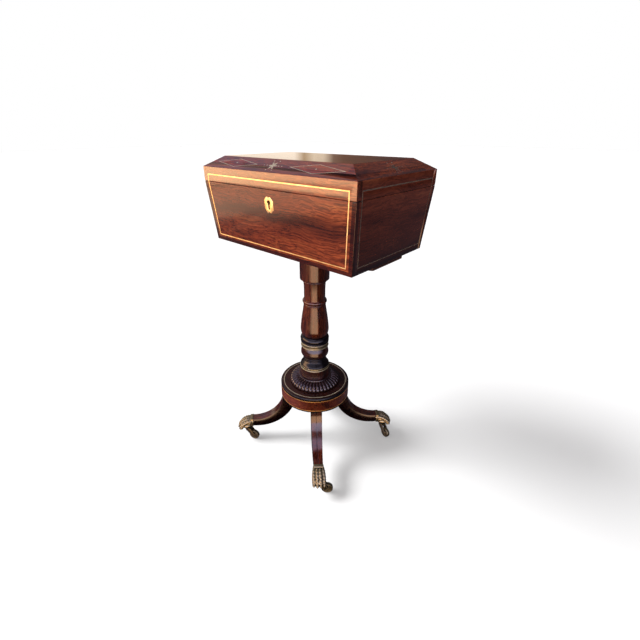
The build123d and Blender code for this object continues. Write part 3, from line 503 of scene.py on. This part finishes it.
def turnedPiece(name, outline, facets=96, edgeRound=0.3):
    # a disc drawn up along the outline, as on a lathe: extruded and scaled from point to point
    deselectAll()
    radius, level = outline[0]
    bpy.ops.mesh.primitive_circle_add(vertices=facets, radius=mm(radius), fill_type="NGON",
                                      location=(0, 0, mm(level)))
    piece = bpy.context.object
    piece.name = name
    bpy.ops.object.transform_apply(location=True)
    edit()
    for nextRadius, nextLevel in outline[1:]:
        pull(0, 0, nextLevel - level)
        ratio = nextRadius / radius
        bpy.ops.transform.resize(value=(ratio, ratio, 1), center_override=(0, 0, mm(nextLevel)))
        radius, level = nextRadius, nextLevel
    faceOutwards()
    if edgeRound:
        selectSharp(38)
        bevelEdges(edgeRound)
    leaveEdit()
    return piece


# ---- chest: veneered boards with sharp, slightly worn arrises ----
def chestSides(point):
    # distances of a point in mm inside the outer planes of the case and of the lid
    c = chest
    lean = c["taper"] * (c["joint"] - point.z) / c["height"] if point.z < c["joint"] else 0
    x, y = c["halfWidth"] - lean - abs(point.x), c["halfDepth"] - lean - abs(point.y)
    slant = hypot(c["hipInset"], c["hipRise"])
    rise = (point.z - c["widest"]) * c["hipInset"]
    return [x, y, (x * c["hipRise"] - rise) / slant, (y * c["hipRise"] - rise) / slant,
            c["top"] - point.z, point.z - c["bottom"]]


def onArris(point):
    return sum(abs(distance) < chest["onPlane"] for distance in chestSides(point)) >= 2


slopeLong = woodMaterial("rosewoodSlopeLong", rosewood, shift=(0.9, 0.1, 0.4), tint=lozengeTint)
slopeShort = woodMaterial("rosewoodSlopeShort", rosewood, endways, (0.6, 0.8, 0.2))
chestFinishes = (veneerFront, veneerSide, veneerTop, slopeLong, slopeShort, innerWood)


def chestFinish(face):
    # one veneer for each outer face of the chest, whatever board it lies on; plain wood inside
    n, centre = face.normal, face.center
    wood = innerWood
    if min(abs(distance) for distance in chestSides(centre * 1000)) < chest["worn"]:
        if n.z > 0.97:
            wood = veneerTop if centre.z > mm(chest["widest"]) else innerWood
        elif n.z > 0.3 and centre.z > mm(chest["widest"] - 0.5):
            wood = slopeLong if abs(n.y) > abs(n.x) else slopeShort
        elif abs(n.x) > abs(n.y):
            wood = veneerSide if n.x * centre.x > 0 else innerWood
        else:
            wood = veneerFront if n.y * centre.y > 0 else innerWood
    return chestFinishes.index(wood)


for board in ("case_front", "case_back", "case_left", "case_right", "lid_front", "lid_back", "lid_left",
              "lid_right", "lid_top"):
    piece = softened(board, chest["arris"], onArris)
    seat(piece, [board], chestFinishes, 60, chestFinish)
    applyModifier(piece, "WEIGHTED_NORMAL", keep_sharp=True)
for node, width in (("bearer", 0.8), ("case_bottom", 0)):
    seat(softened(node, width), [node], [innerWood])
seat(softened("escutcheon", 0.25), ["escutcheon"], [stringBrass])
print("chest made")

# ---- column: seven turned pieces on one axis; radii and heights in mm ----
column = {
    "shaftBottom": 344, "belly": (35.6, 360), "vaseTop": (27.3, 428), "vaseFoot": 29.8,
    "ring": 27.3, "throat": 26.0, "beadLow": 433.5, "beadTop": 442.5, "bead": 30.1,
    "throatTop": 488.9, "fillet": 29.3, "collarLow": 494.5, "collar": 35.4, "shaftTop": 568,
    "darkLevels": ((251.3, 254.0), (300, 313.4), (315.1, 321.9)),
}


def shaftOutline(c):
    low, high, vaseTop = c["throatTop"], c["collarLow"], c["vaseTop"][1]
    ringFoot, ringHead = (c["ring"], vaseTop + 1.4), (c["ring"], c["beadLow"] - 1.4)
    beadFoot, beadHead = (c["throat"] + 0.4, c["beadLow"]), (c["throat"] + 0.4, c["beadTop"])
    half, edge = (c["beadTop"] + low) / 2, c["fillet"] - 1.0
    collarFoot = (c["collar"] - 3, high)
    vase = flow([(c["vaseFoot"], c["shaftBottom"], 12, 10), (*c["belly"], 0.4, 20),
                 (32.4, 394, -4.6, 34), (*c["vaseTop"], -3.5, 32)], 12)
    ring = [(c["throat"], vaseTop + 0.2), (c["throat"], vaseTop + 1.2), ringFoot]
    ring += bow(ringFoot, ringHead, 0.6, 4)
    bead = [(c["throat"], c["beadLow"] - 1.0), beadFoot]
    bead += bow(beadFoot, beadHead, c["bead"] - c["throat"] - 0.4, 10)
    throat = [(c["throat"], c["beadTop"] + 0.6), (c["throat"], half), (c["throat"] + 0.2, half + 10),
              (c["throat"] + 1.0, low - 1)]
    fillet = [(edge, low)] + bow((edge, low), (edge, low + 2.8), 1.2, 6)
    fillet += [(c["fillet"] - 1.2, low + 3.0), (c["fillet"] - 1.2, high - 0.1)]
    collar = [collarFoot] + bow(collarFoot, (c["collar"], high + 3), 1.24, 6)
    return vase + ring + bead + throat + fillet + collar + [(c["collar"], c["shaftTop"])]


torusOutline = [(34.6, 325)] + bow((34.6, 325), (34.6, 328.8), 1.6) + [(34.4, 329.2)]
torusOutline += flow([(34.8, 329.6, 3.4, 4), (36.8, 334.8, 0, 6), (30.8, 344, -10, 2)])
upperRing = [(34.4, 312), (34.8, 312.4)] + bow((34.8, 312.4), (34.8, 314.6), 1.2)
upperRing += [(34.0, 315.0)] + bow((34.0, 315.0), (34.2, 321.6), -0.7, 6)
upperRing += bow((34.6, 322.0), (34.8, 324.2), 1.2) + [(34.2, 325)]
lowerRing = [(37.4, 248), (37.6, 248.6)] + bow((37.6, 248.6), (37.6, 251.2), 1.3)
lowerRing += [(36.6, 251.8), (36.4, 254.0)] + bow((36.4, 254.0), (36.2, 256), 0.8, 6)
knopOutline = flow([(29.4, 281, 8, 4), (36.0, 292, 0.2, 9), (34.8, 302, -2.4, 9), (31.4, 312, -4, 9)], 10)
neckOutline = [(37.4, 256), (37.4, 258), (36.4, 258.4)] + flow([(36.4, 258.4, -3, 8), (28.8, 271, -3, 9)], 10)
neckOutline += bow((28.8, 271), (28.8, 275.2), 1.6) + [(28.8, 276.2)]
neckOutline += bow((28.8, 276.2), (28.8, 280.4), 1.6) + [(28.8, 281)]


def ringFinish(face):
    # a dark patina in the hollow between the two beads; the lower edges are painted dark, as painted shade
    return int(any(low < face.center.z * 1000 < high for low, high in column["darkLevels"]))


columnShaft = turnedPiece("columnShaft", shaftOutline(column))
seat(columnShaft, ["column_shaft"], [turnedWood])
applyModifier(columnShaft, "WEIGHTED_NORMAL", keep_sharp=True)
seat(turnedPiece("columnTorus", torusOutline), ["column_torus"], [ebonised])
rings = joined([turnedPiece("upperRing", upperRing, edgeRound=0),
                turnedPiece("lowerRing", lowerRing, edgeRound=0)], "columnRings")
seat(rings, ["column_rings"], [turnedBrass, casterBrass], choose=ringFinish)
seat(turnedPiece("columnKnop", knopOutline), ["column_knop"], [turnedShaded])
seat(turnedPiece("columnNeck", neckOutline), ["column_neck"], [ebonised])
columnFoot = turnedPiece("columnFoot", [(38.6, 204), (38.6, 248)])
seat(columnFoot, ["column_foot"], [turnedShaded])
applyModifier(columnFoot, "WEIGHTED_NORMAL", keep_sharp=True)
print("column made")

# ---- gadrooned collar: forty carved lobes on a turned quarter round ----
gadroon = {
    "lobes": 40, "facetsEach": 12, "bottom": 204, "low": 207, "top": 225, "bore": 39, "bandEdge": 44.2,
    "centre": 44.8, "run": 22.2, "rise": 15.5, "foot": 64, "hollow": 3.6, "steps": 26,
    "endStart": 0.72, "endRound": 1.6, "grooveStart": 0.8,
}


def acrossLobe(x, y):
    # -1 and 1 in the grooves, 0 on the crest of a lobe
    return (atan2(y, x) / (2 * pi) * gadroon["lobes"]) % 1 * 2 - 1


def collarOutline(g):
    steps = [pi / 2 * k / g["steps"] for k in range(g["steps"])]
    quarter = [(g["centre"] + g["run"] * cos(angle), g["low"] + g["rise"] * sin(angle)) for angle in steps]
    return [(g["bore"], g["bottom"]), (g["foot"], g["bottom"]), (g["foot"], g["low"] - 0.3)] + quarter + [
        (g["bandEdge"] + 0.3, g["top"] - 2.6), (g["bandEdge"], g["top"] - 2.2),
        (g["bandEdge"], g["top"] - 0.4), (g["bandEdge"] - 0.4, g["top"]), (g["bore"], g["top"])]


def carveLobes(piece, g):
    # sinks the quarter round between the lobes, and rounds each lobe off at its inner end
    for vertex in piece.data.vertices:
        x, y, z = vertex.co * 1000
        radius = hypot(x, y)
        out, up = radius - g["centre"], z - g["low"]
        if radius < g["centre"] - 0.5 or up < -0.1 or up > g["rise"] + 0.1:
            continue
        climb = atan2(up / g["rise"], max(out, 0.001) / g["run"]) / (pi / 2)
        across = acrossLobe(x, y)
        inward = max(0.0, climb - g["endStart"]) / (1 - g["endStart"])
        depth = g["hollow"] * (1 - sqrt(max(0.0, 1 - across ** 2)))
        depth += g["endRound"] * inward ** 2 * across ** 2
        away = hypot(out, up)
        out, up = out - out / away * depth, up - up / away * depth
        share = (g["centre"] + out) / radius
        vertex.co = (mm(x * share), mm(y * share), mm(g["low"] + up))


def collarFinish(face):
    # the faces at the grooves between the lobes take the near-black painted shade
    x, y, z = face.center * 1000
    carved = hypot(x, y) > gadroon["centre"] + 3 and z > gadroon["low"] + 0.2
    return int(carved and abs(acrossLobe(x, y)) > gadroon["grooveStart"])


carvedWood = woodMaterial("rosewoodCarved", carvedRosewood, upright)
# near-black, nearly matt wood for the faces at the grooves between the lobes: painted shade in the creases
grooveShadeWood, tree, shader = startMaterial("rosewoodGrooveShade", Roughness=0.7, Specular_IOR_Level=0.1)
grain = addNoise(tree, grainPlace(tree), 2)["Fac"]
connect(tree, shader, Base_Color=addRamp(tree, grain, [(0.3, "#050304"), (0.7, "#120a0b")]))
collar = turnedPiece("gadroonCollar", collarOutline(gadroon), gadroon["lobes"] * gadroon["facetsEach"], 0)
carveLobes(collar, gadroon)
seat(collar, ["gadroon_collar"], [carvedWood, grooveShadeWood], 60, collarFinish)
print("gadrooned collar made")

# ---- platform: rosewood drum with an ebonised rim between brass lines ----
drum = {"topString": 83.5, "wall": 80, "topLevel": 200, "upperLine": 196, "lowerLine": 165.6}


def drumFinish(face):
    # 0 the band, 1 the ebonised edges, 2 the disc, in its near-black painted shade
    x, y, z = face.center * 1000
    rim = hypot(x, y)
    if face.normal.z > 0.5 and z > drum["topLevel"]:
        return 1 if rim > drum["topString"] else 2
    return int(rim > drum["wall"] and not drum["lowerLine"] < z < drum["upperLine"])


platformFinishes = (platformWood, ebonised, platformShadedTop)
seat(softened("platform", 0), ["platform"], platformFinishes, 30, drumFinish)
print("platform made")

# ---- sabre legs: tapered planks with a line cut along the middle of their upper face ----
leg = {
    "rootInner": 52, "rootOuter": 89, "top": 162, "reach": 177.6, "endBottom": 50.5, "endTop": 72.6,
    "underSag": 35.6, "topSag": 27.9, "rootWidth": 29, "endWidth": 23.2, "stations": 36, "columns": 24,
    "groove": 0.6, "edge": 0.7,
}


def straightLeg(g):
    # a grid thickened into a slab, then carried onto the two arcs of the leg
    bpy.ops.mesh.primitive_grid_add(x_subdivisions=g["stations"], y_subdivisions=g["columns"], size=2)
    piece = bpy.context.object
    edit()
    pull(0, 0, 1000)
    faceOutwards()
    leaveEdit()
    for vertex in piece.data.vertices:
        t, side, upper = (vertex.co.x + 1) / 2, vertex.co.y, vertex.co.z > 0.5
        below = onBow((g["rootInner"], g["top"]), (g["reach"], g["endBottom"]), g["underSag"], t)
        above = onBow((g["rootOuter"], g["top"]), (g["reach"], g["endTop"]), g["topSag"], t)
        x, z = above if upper else below
        outward = (above[0] - below[0], above[1] - below[1])
        length = hypot(*outward)
        along = min(1, max(0, (x - g["rootOuter"]) / (g["reach"] - g["rootOuter"])))
        width = g["rootWidth"] + (g["endWidth"] - g["rootWidth"]) * along
        if upper and abs(side) < 0.01:
            x, z = x - outward[0] / length * g["groove"], z - outward[1] / length * g["groove"]
        vertex.co = (mm(x), mm(side * width / 2), mm(z))
    edit()
    selectSharp(50)
    bevelEdges(g["edge"])
    leaveEdit()
    return piece


deselectAll()
for name, angle, copy in copiesRound(straightLeg(leg), "sabreLeg_"):
    aside = Vector((-sin(radians(angle)), cos(radians(angle)), 0))
    # the sides, the rounded arrises and the undersides of each leg take the near-black legShade copy: painted
    # shade
    seat(copy, ["leg_" + name], [legWood[name], legShade], 30,
         lambda face: int(abs(face.normal.dot(aside)) > 0.3 or face.normal.z < -0.1))
print("legs made")

# ---- paw caps: a square socket, four toes with knuckles and claws, a pad beneath ----
paw = {
    "back": 177.6, "cuff": 7.0, "cuffWidth": 24.7, "cuffBottom": 49.0, "cuffTop": 73.2,
    "toes": (-1.5, -0.5, 0.5, 1.5), "toePitch": 8.3, "voxel": 0.5,
    # along a toe from the cuff: distance from the axis, height, thickness, share of the spread
    "toeLine": ((184, 66.0, 8.2, 0.80), (190, 66.6, 8.8, 0.86), (196, 65.8, 9.2, 0.93),
                (202, 63.4, 9.6, 0.98), (207.5, 59.6, 9.9, 1.0), (212, 55.0, 10.1, 1.0),
                (215.5, 49.8, 10.0, 1.0), (217.5, 44.4, 9.0, 1.0)),
    "knuckle": (1.35, 0.96), "outerBack": 2.2, "outerCurve": 1.6,  # the outer toes stand further back
    # place and size of the eggs under the toes
    "instep": (((193, 0, 57.5), (34, 30, 21)), ((199, 0, 48), (38, 31, 20)), ((207, 0, 50), (24, 30, 18))),
    "clawLength": 7, "clawRoot": 2.2, "clawTip": 0.3, "clawCurl": 0.55, "clawPlace": (220.2, 41.6),
    "clawTurn": 148, "clawBack": 2.4, "clawSpread": 1.02,
}


def egg(centre, size):
    # a stretched ball in mm
    bpy.ops.mesh.primitive_uv_sphere_add(segments=20, ring_count=14, radius=0.5)
    ball = bpy.context.object
    for vertex in ball.data.vertices:
        vertex.co = [place * mm(width) for place, width in zip(vertex.co, size)]
    ball.location = [mm(v) for v in centre]
    bpy.ops.object.transform_apply(location=True)
    return ball


def pawFlesh(p):
    # the cast mass: eggs for the instep and the pad, and a chain of them down each toe, melted together
    lumps = [egg(centre, size) for centre, size in p["instep"]]
    length, width = p["knuckle"]
    for side in p["toes"]:
        back = abs(side) ** p["outerCurve"] * p["outerBack"]
        for x, z, size, share in p["toeLine"]:
            place = (x - back, side * p["toePitch"] * share, z - abs(side))
            lumps.append(egg(place, (size * length, size * width, size)))
    flesh = joined(lumps, "pawFlesh")
    applyModifier(flesh, "REMESH", mode="VOXEL", voxel_size=mm(p["voxel"]))
    applyModifier(flesh, "SMOOTH", factor=0.5, iterations=3)
    return flesh


def claw(p, side):
    # a short horn that curls under the toe
    deselectAll()
    bpy.ops.mesh.primitive_cone_add(vertices=12, radius1=mm(p["clawRoot"]), radius2=mm(p["clawTip"]),
                                    depth=mm(p["clawLength"]))
    horn = bpy.context.object
    edit()
    bpy.ops.mesh.subdivide(number_cuts=2)
    leaveEdit()
    for vertex in horn.data.vertices:
        vertex.co.x -= (vertex.co.z / mm(p["clawLength"] / 2) + 1) ** 2 * mm(p["clawCurl"])
    reach, level = p["clawPlace"]
    back = abs(side) ** p["outerCurve"] * p["clawBack"]
    horn.rotation_euler = (0, radians(p["clawTurn"]), 0)
    horn.location = (mm(reach - back), mm(side * p["toePitch"] * p["clawSpread"]), mm(level))
    bpy.ops.object.transform_apply(location=True, rotation=True)
    return horn


def pawSocket(p):
    # the square collar that the leg is let into, with a raised moulding at each end
    deselectAll()
    bpy.ops.mesh.primitive_cube_add(size=1)
    socket = bpy.context.object
    socket.scale = (mm(p["cuff"]), mm(p["cuffWidth"]), mm(p["cuffTop"] - p["cuffBottom"]))
    socket.location = (mm(p["back"] + p["cuff"] / 2), 0, mm((p["cuffTop"] + p["cuffBottom"]) / 2))
    bpy.ops.object.transform_apply(location=True, scale=True)
    selectWhere(socket, "FACE", lambda mesh, face: face.normal.x > 0.9)
    for step, scale in ((0.6, 0.93), (1.2, 1.0), (0.6, 0.94)):
        pull(step, 0, 0)
        bpy.ops.transform.resize(value=(1, scale, scale))
    bpy.ops.mesh.select_all(action="SELECT")
    bevelEdges(0.4)
    leaveEdit()
    return socket


deselectAll()
firstPaw = joined([pawFlesh(paw)] + [claw(paw, side) for side in paw["toes"]] + [pawSocket(paw)], "pawCap")
for name, angle, copy in copiesRound(firstPaw, "lionPaw_"):
    seat(copy, ["paw_cap_" + name], [castBrass], 50)
print("paw caps made")

# ---- casters, canisters, bowls and small metalwork; widths of the rounded edges in mm ----
small = {"horn": 0.5, "wheel": 0.35, "axle": 0.3, "canister": 0.5, "bowl": 0.6, "tray": 0.5}
for name in feet:
    for part in ("horn", "wheel", "axle"):
        node = f"caster_{part}_{name}"
        seat(softened(node, small[part], sharpness=40), [node], [casterBrass], 40)
for side in ("left", "right"):
    for node in ("canister_" + side, "canister_cover_" + side):
        seat(softened(node, small["canister"], sharpness=60), [node], [turnedWood], 40)
    seat(softened("bowl_" + side, small["bowl"], sharpness=60), ["bowl_" + side], [bowlGlass], 50)
seat(softened("fitted_tray", small["tray"], sharpness=60), ["fitted_tray"], [veneerFront], 40)
for node in ("case_hinge_leaves", "lid_hinge_leaves", "hinge_pins", "link_plate", "lock_case", "lock_bolt",
             "case_hinge_screws", "lid_hinge_screws"):
    dress(frame["nodes"][node].data, [stringBrass])
dress(frame["nodes"]["bearer_screws"].data, [dullSteel])
dress(frame["nodes"]["lid_lining"].data, [velvet])

# the lines on the ends of the case and on the end slopes of the lid are painted in dull, dark copies of the
# brass as painted shade, and those of the platform are darker than the case's
lineFinishes = (slopeBrass, stringBrass, shadedSideBrass, shadedEndBrass, amberBrass)
lines = {"discLevel": 200, "endSlope": 180, "fromCorner": 6}


def platformLine(face):
    return lineFinishes.index(slopeBrass if face.center.z > mm(lines["discLevel"]) else amberBrass)


def chestLine(face):
    x, y, margin = abs(face.center.x), abs(face.center.y), lines["fromCorner"]
    brass = stringBrass
    if face.center.z > mm(chest["widest"]):
        brass = shadedEndBrass if x > mm(lines["endSlope"]) else slopeBrass
    elif (x / mm(chest["halfWidth"]) > y / mm(chest["halfDepth"]) and y < mm(chest["halfDepth"] - margin)
          and x > mm(chest["halfWidth"] - chest["taper"] - margin)):
        brass = shadedSideBrass
    return lineFinishes.index(brass)


for node, choose in (("lid_inlay", chestLine), ("case_stringing", chestLine),
                     ("platform_stringing", platformLine)):
    dress(frame["nodes"][node].data, lineFinishes, choose)
print("small pieces made")

# ---- floor, light and camera ----
studio = {
    "camera": (0.5528, -0.6067, 0.808), "yaw": 42.4, "down": 27.1, "roll": -0.15,
    "lens": 20.64, "sensor": 36, "shift": (0.0088, -0.0031), "floorSize": 40,
    "sunFrom": (-0.80, -0.62, 0.90), "sun": (2.6, 40), "floorSun": (8.5, 22),  # power, angle across
    # name, place, size, power, colour of each lit panel, and where they point
    "panels": (("frontWall", (-0.92, -1.34, 0.64), (1.6, 0.42), 18.5, "#ffc896"),
               ("frontWallFoot", (-1.19, -1.07, 0.30), (1.2, 0.20), 1.6, "#ffc8a0")),
    "panelAim": (0, -0.1, 0.72),
}


def facing(way):
    # the turn that points a light along a direction
    return way.to_track_quat("-Z", "Y").to_euler()


def addSun(name, power, angle):
    light = bpy.data.lights.new(name, "SUN")
    light.energy, light.angle = power, radians(angle)
    lamp = addObject(name, light)
    lamp.rotation_euler = facing(-Vector(studio["sunFrom"]))
    lamp.visible_glossy = False
    return lamp


def addPanel(name, place, size, power, colour):
    light = bpy.data.lights.new(name, "AREA")
    light.shape = "RECTANGLE"
    light.size, light.size_y = size
    light.energy = power
    light.color = linear(colour)[:3]
    lamp = addObject(name, light)
    lamp.location = place
    lamp.rotation_euler = facing(Vector(studio["panelAim"]) - Vector(place))
    lamp.visible_camera = lamp.visible_diffuse = False


deselectAll()
bpy.ops.mesh.primitive_plane_add(size=studio["floorSize"])
floor = bpy.context.object
floor.name = "floor"
# backdrop paper, lit from within a little so that shadows stay pale
paper, tree, shader = startMaterial("paleFloor", Base_Color=linear("#8c8c8c"), Roughness=0.9,
                                    Specular_IOR_Level=0.1, Emission_Color=linear("#ffffff"),
                                    Emission_Strength=0.3)
floor.data.materials.append(paper)
floor.visible_glossy = floor.visible_diffuse = False

addSun("softSun", *studio["sun"])
# a firmer sun that lights the floor alone, for its shadows
floorOnly = bpy.data.collections.new("floorOnly")
floorOnly.objects.link(floor)
addSun("floorSun", *studio["floorSun"]).light_linking.receiver_collection = floorOnly
# a sunlit wall low in front and its paler foot: seen only in the polish
for panel in studio["panels"]:
    addPanel(*panel)

world = bpy.data.worlds.new("paleStudio")
bpy.context.scene.world = world
world.use_nodes = True
sky = world.node_tree
ray = addNode(sky, "ShaderNodeLightPath").outputs
toward = addNode(sky, "ShaderNodeTexCoord").outputs["Generated"]
turned = addNode(sky, "ShaderNodeMapping", {"Rotation": (0, 0, -radians(studio["yaw"])), "Vector": toward})
axes = addNode(sky, "ShaderNodeSeparateXYZ", {"Vector": turned.outputs["Vector"]}).outputs
# 0.5 is straight ahead of the camera, 0.25 its left, 0.75 its right
around = rescale(sky, compute(sky, "ARCTAN2", axes["X"], axes["Y"]), 0, 1, -pi, pi)
# 0.5 is the horizon, 1 straight up
height = rescale(sky, axes["Z"], 0, 1, -1, 1)


def skyLayer(strength, byHeading, byHeight):
    # one part of the surroundings: a ramp round the compass times a ramp up the sky
    product = mix(sky, "MULTIPLY", 1.0, addRamp(sky, around, byHeading), addRamp(sky, height, byHeight))
    return vectorMath(sky, "SCALE", product, Scale=strength)


def together(layers):
    total = layers[0]
    for layer in layers[1:]:
        total = mix(sky, "ADD", 1.0, total, layer)
    return total


mirrored = together([
    # pale wall ahead to the left, brown to the right
    skyLayer(1.5, [(0.05, "#6a5a50"), (0.28, "#988a7e"), (0.40, "#d8c9b6"), (0.4944, "#e5d6c3"),
                   (0.4956, "#a08a6e"), (0.4990, "#9a8466"), (0.5002, "#d0c0a8"), (0.5060, "#b8a690"),
                   (0.5080, "#5e4a3e"), (0.5150, "#544238"), (0.530, "#3c3432"), (0.56, "#3a302e"),
                   (0.80, "#2c2430"), (0.95, "#5a483c")],
             [(0.45, "#000000"), (0.50, "#ffffff"), (0.56, "#ffffff"), (0.60, "#000000")]),
    # open sky to the left, shaded ahead
    skyLayer(4.0, [(0.0, "#c8c0d0"), (0.2, "#c8c0d0"), (0.40, "#a0a0b8"), (0.438, "#c8a8a0"),
                   (0.452, "#c8a8a0"), (0.50, "#2c262c"), (0.56, "#504c50"), (0.61, "#585456"),
                   (0.80, "#40363a"), (0.86, "#8a7c84")],
             [(0.54, "#000000"), (0.66, "#7c7c80"), (0.86, "#a0a0a8"), (0.95, "#606068")]),
    # bright sky behind the camera and overhead, which only upward curves mirror
    skyLayer(7.0, [(0.0, "#d4cce8"), (0.14, "#c4bcdc"), (0.21, "#302e3a"), (0.26, "#000000"),
                   (0.80, "#000000"), (0.86, "#8c84a0"), (0.92, "#d4cce8")],
             [(0.462, "#000000"), (0.475, "#e0e0e0"), (0.69, "#c0c0c0"), (0.72, "#181818"), (0.84, "#181818"),
              (0.90, "#a8a0a8"), (1.0, "#a8a0a8")]),
    # a warm wall low to the left of the camera, mirrored only high on the shaft
    skyLayer(2.6, [(0.0, "#000000"), (0.06, "#000000"), (0.12, "#e0986c"), (0.17, "#e0986c"),
                   (0.20, "#000000")],
             [(0.325, "#000000"), (0.335, "#ffffff"), (0.354, "#ffffff"), (0.362, "#000000")]),
    # lit ground behind the camera
    skyLayer(4.9, [(0.0, "#ffcb9f"), (0.06, "#ffcb9f"), (0.12, "#000000"), (0.925, "#000000"),
                   (0.935, "#ffcb9f")],
             [(0.255, "#000000"), (0.268, "#ffffff"), (0.462, "#ffffff"), (0.475, "#000000")]),
    # cool ground to the right, a dim violet one to the left
    skyLayer(1.0, [(0.05, "#000000"), (0.20, "#8c6c80"), (0.36, "#5c4858"), (0.50, "#000000"),
                   (0.66, "#5a525c"), (0.86, "#3c383e"), (0.98, "#000000")],
             [(0.20, "#ffffff"), (0.40, "#e0e0e0"), (0.46, "#000000")]),
])
# what lights the matt surfaces: pale from the left and the front, and from high up on the right
matt = together([
    skyLayer(1.8, [(0.0, "#a8a4a2"), (0.12, "#ece8e4"), (0.28, "#e4e4ea"), (0.45, "#787880"),
                   (0.58, "#2c2c32"), (0.72, "#1c1c22"), (0.86, "#4a464a"), (0.94, "#8c8888")],
             [(0.40, "#909090"), (0.50, "#ffffff"), (1.0, "#ffffff")]),
    skyLayer(1.8, [(0.45, "#000000"), (0.60, "#302e30"), (0.78, "#8c8688"), (0.90, "#d0c4c0"),
                   (1.0, "#605c5c")],
             [(0.66, "#000000"), (0.76, "#ffffff"), (1.0, "#ffffff")]),
])
spread = mix(sky, "MIX", ray["Is Glossy Ray"], matt, mirrored)
# glass shows the same white as the open background
seen = compute(sky, "MAXIMUM", ray["Is Camera Ray"], ray["Is Transmission Ray"])
feed(sky, sky.nodes["Background"].inputs["Color"], mix(sky, "MIX", seen, spread, (1, 1, 1, 1)))

lens = bpy.data.cameras.new("camera")
lens.lens, lens.sensor_width = studio["lens"], studio["sensor"]
lens.shift_x, lens.shift_y = studio["shift"]
camera = addObject("camera", lens)
aim = Euler((radians(90 - studio["down"]), 0, radians(studio["yaw"]))).to_matrix()
roll = Matrix.Rotation(radians(studio["roll"]), 3, "Z")
camera.matrix_world = Matrix.Translation(studio["camera"]) @ (aim @ roll).to_4x4()
bpy.context.scene.camera = camera
bpy.context.scene.view_settings.view_transform = "Standard"
print("studio made")
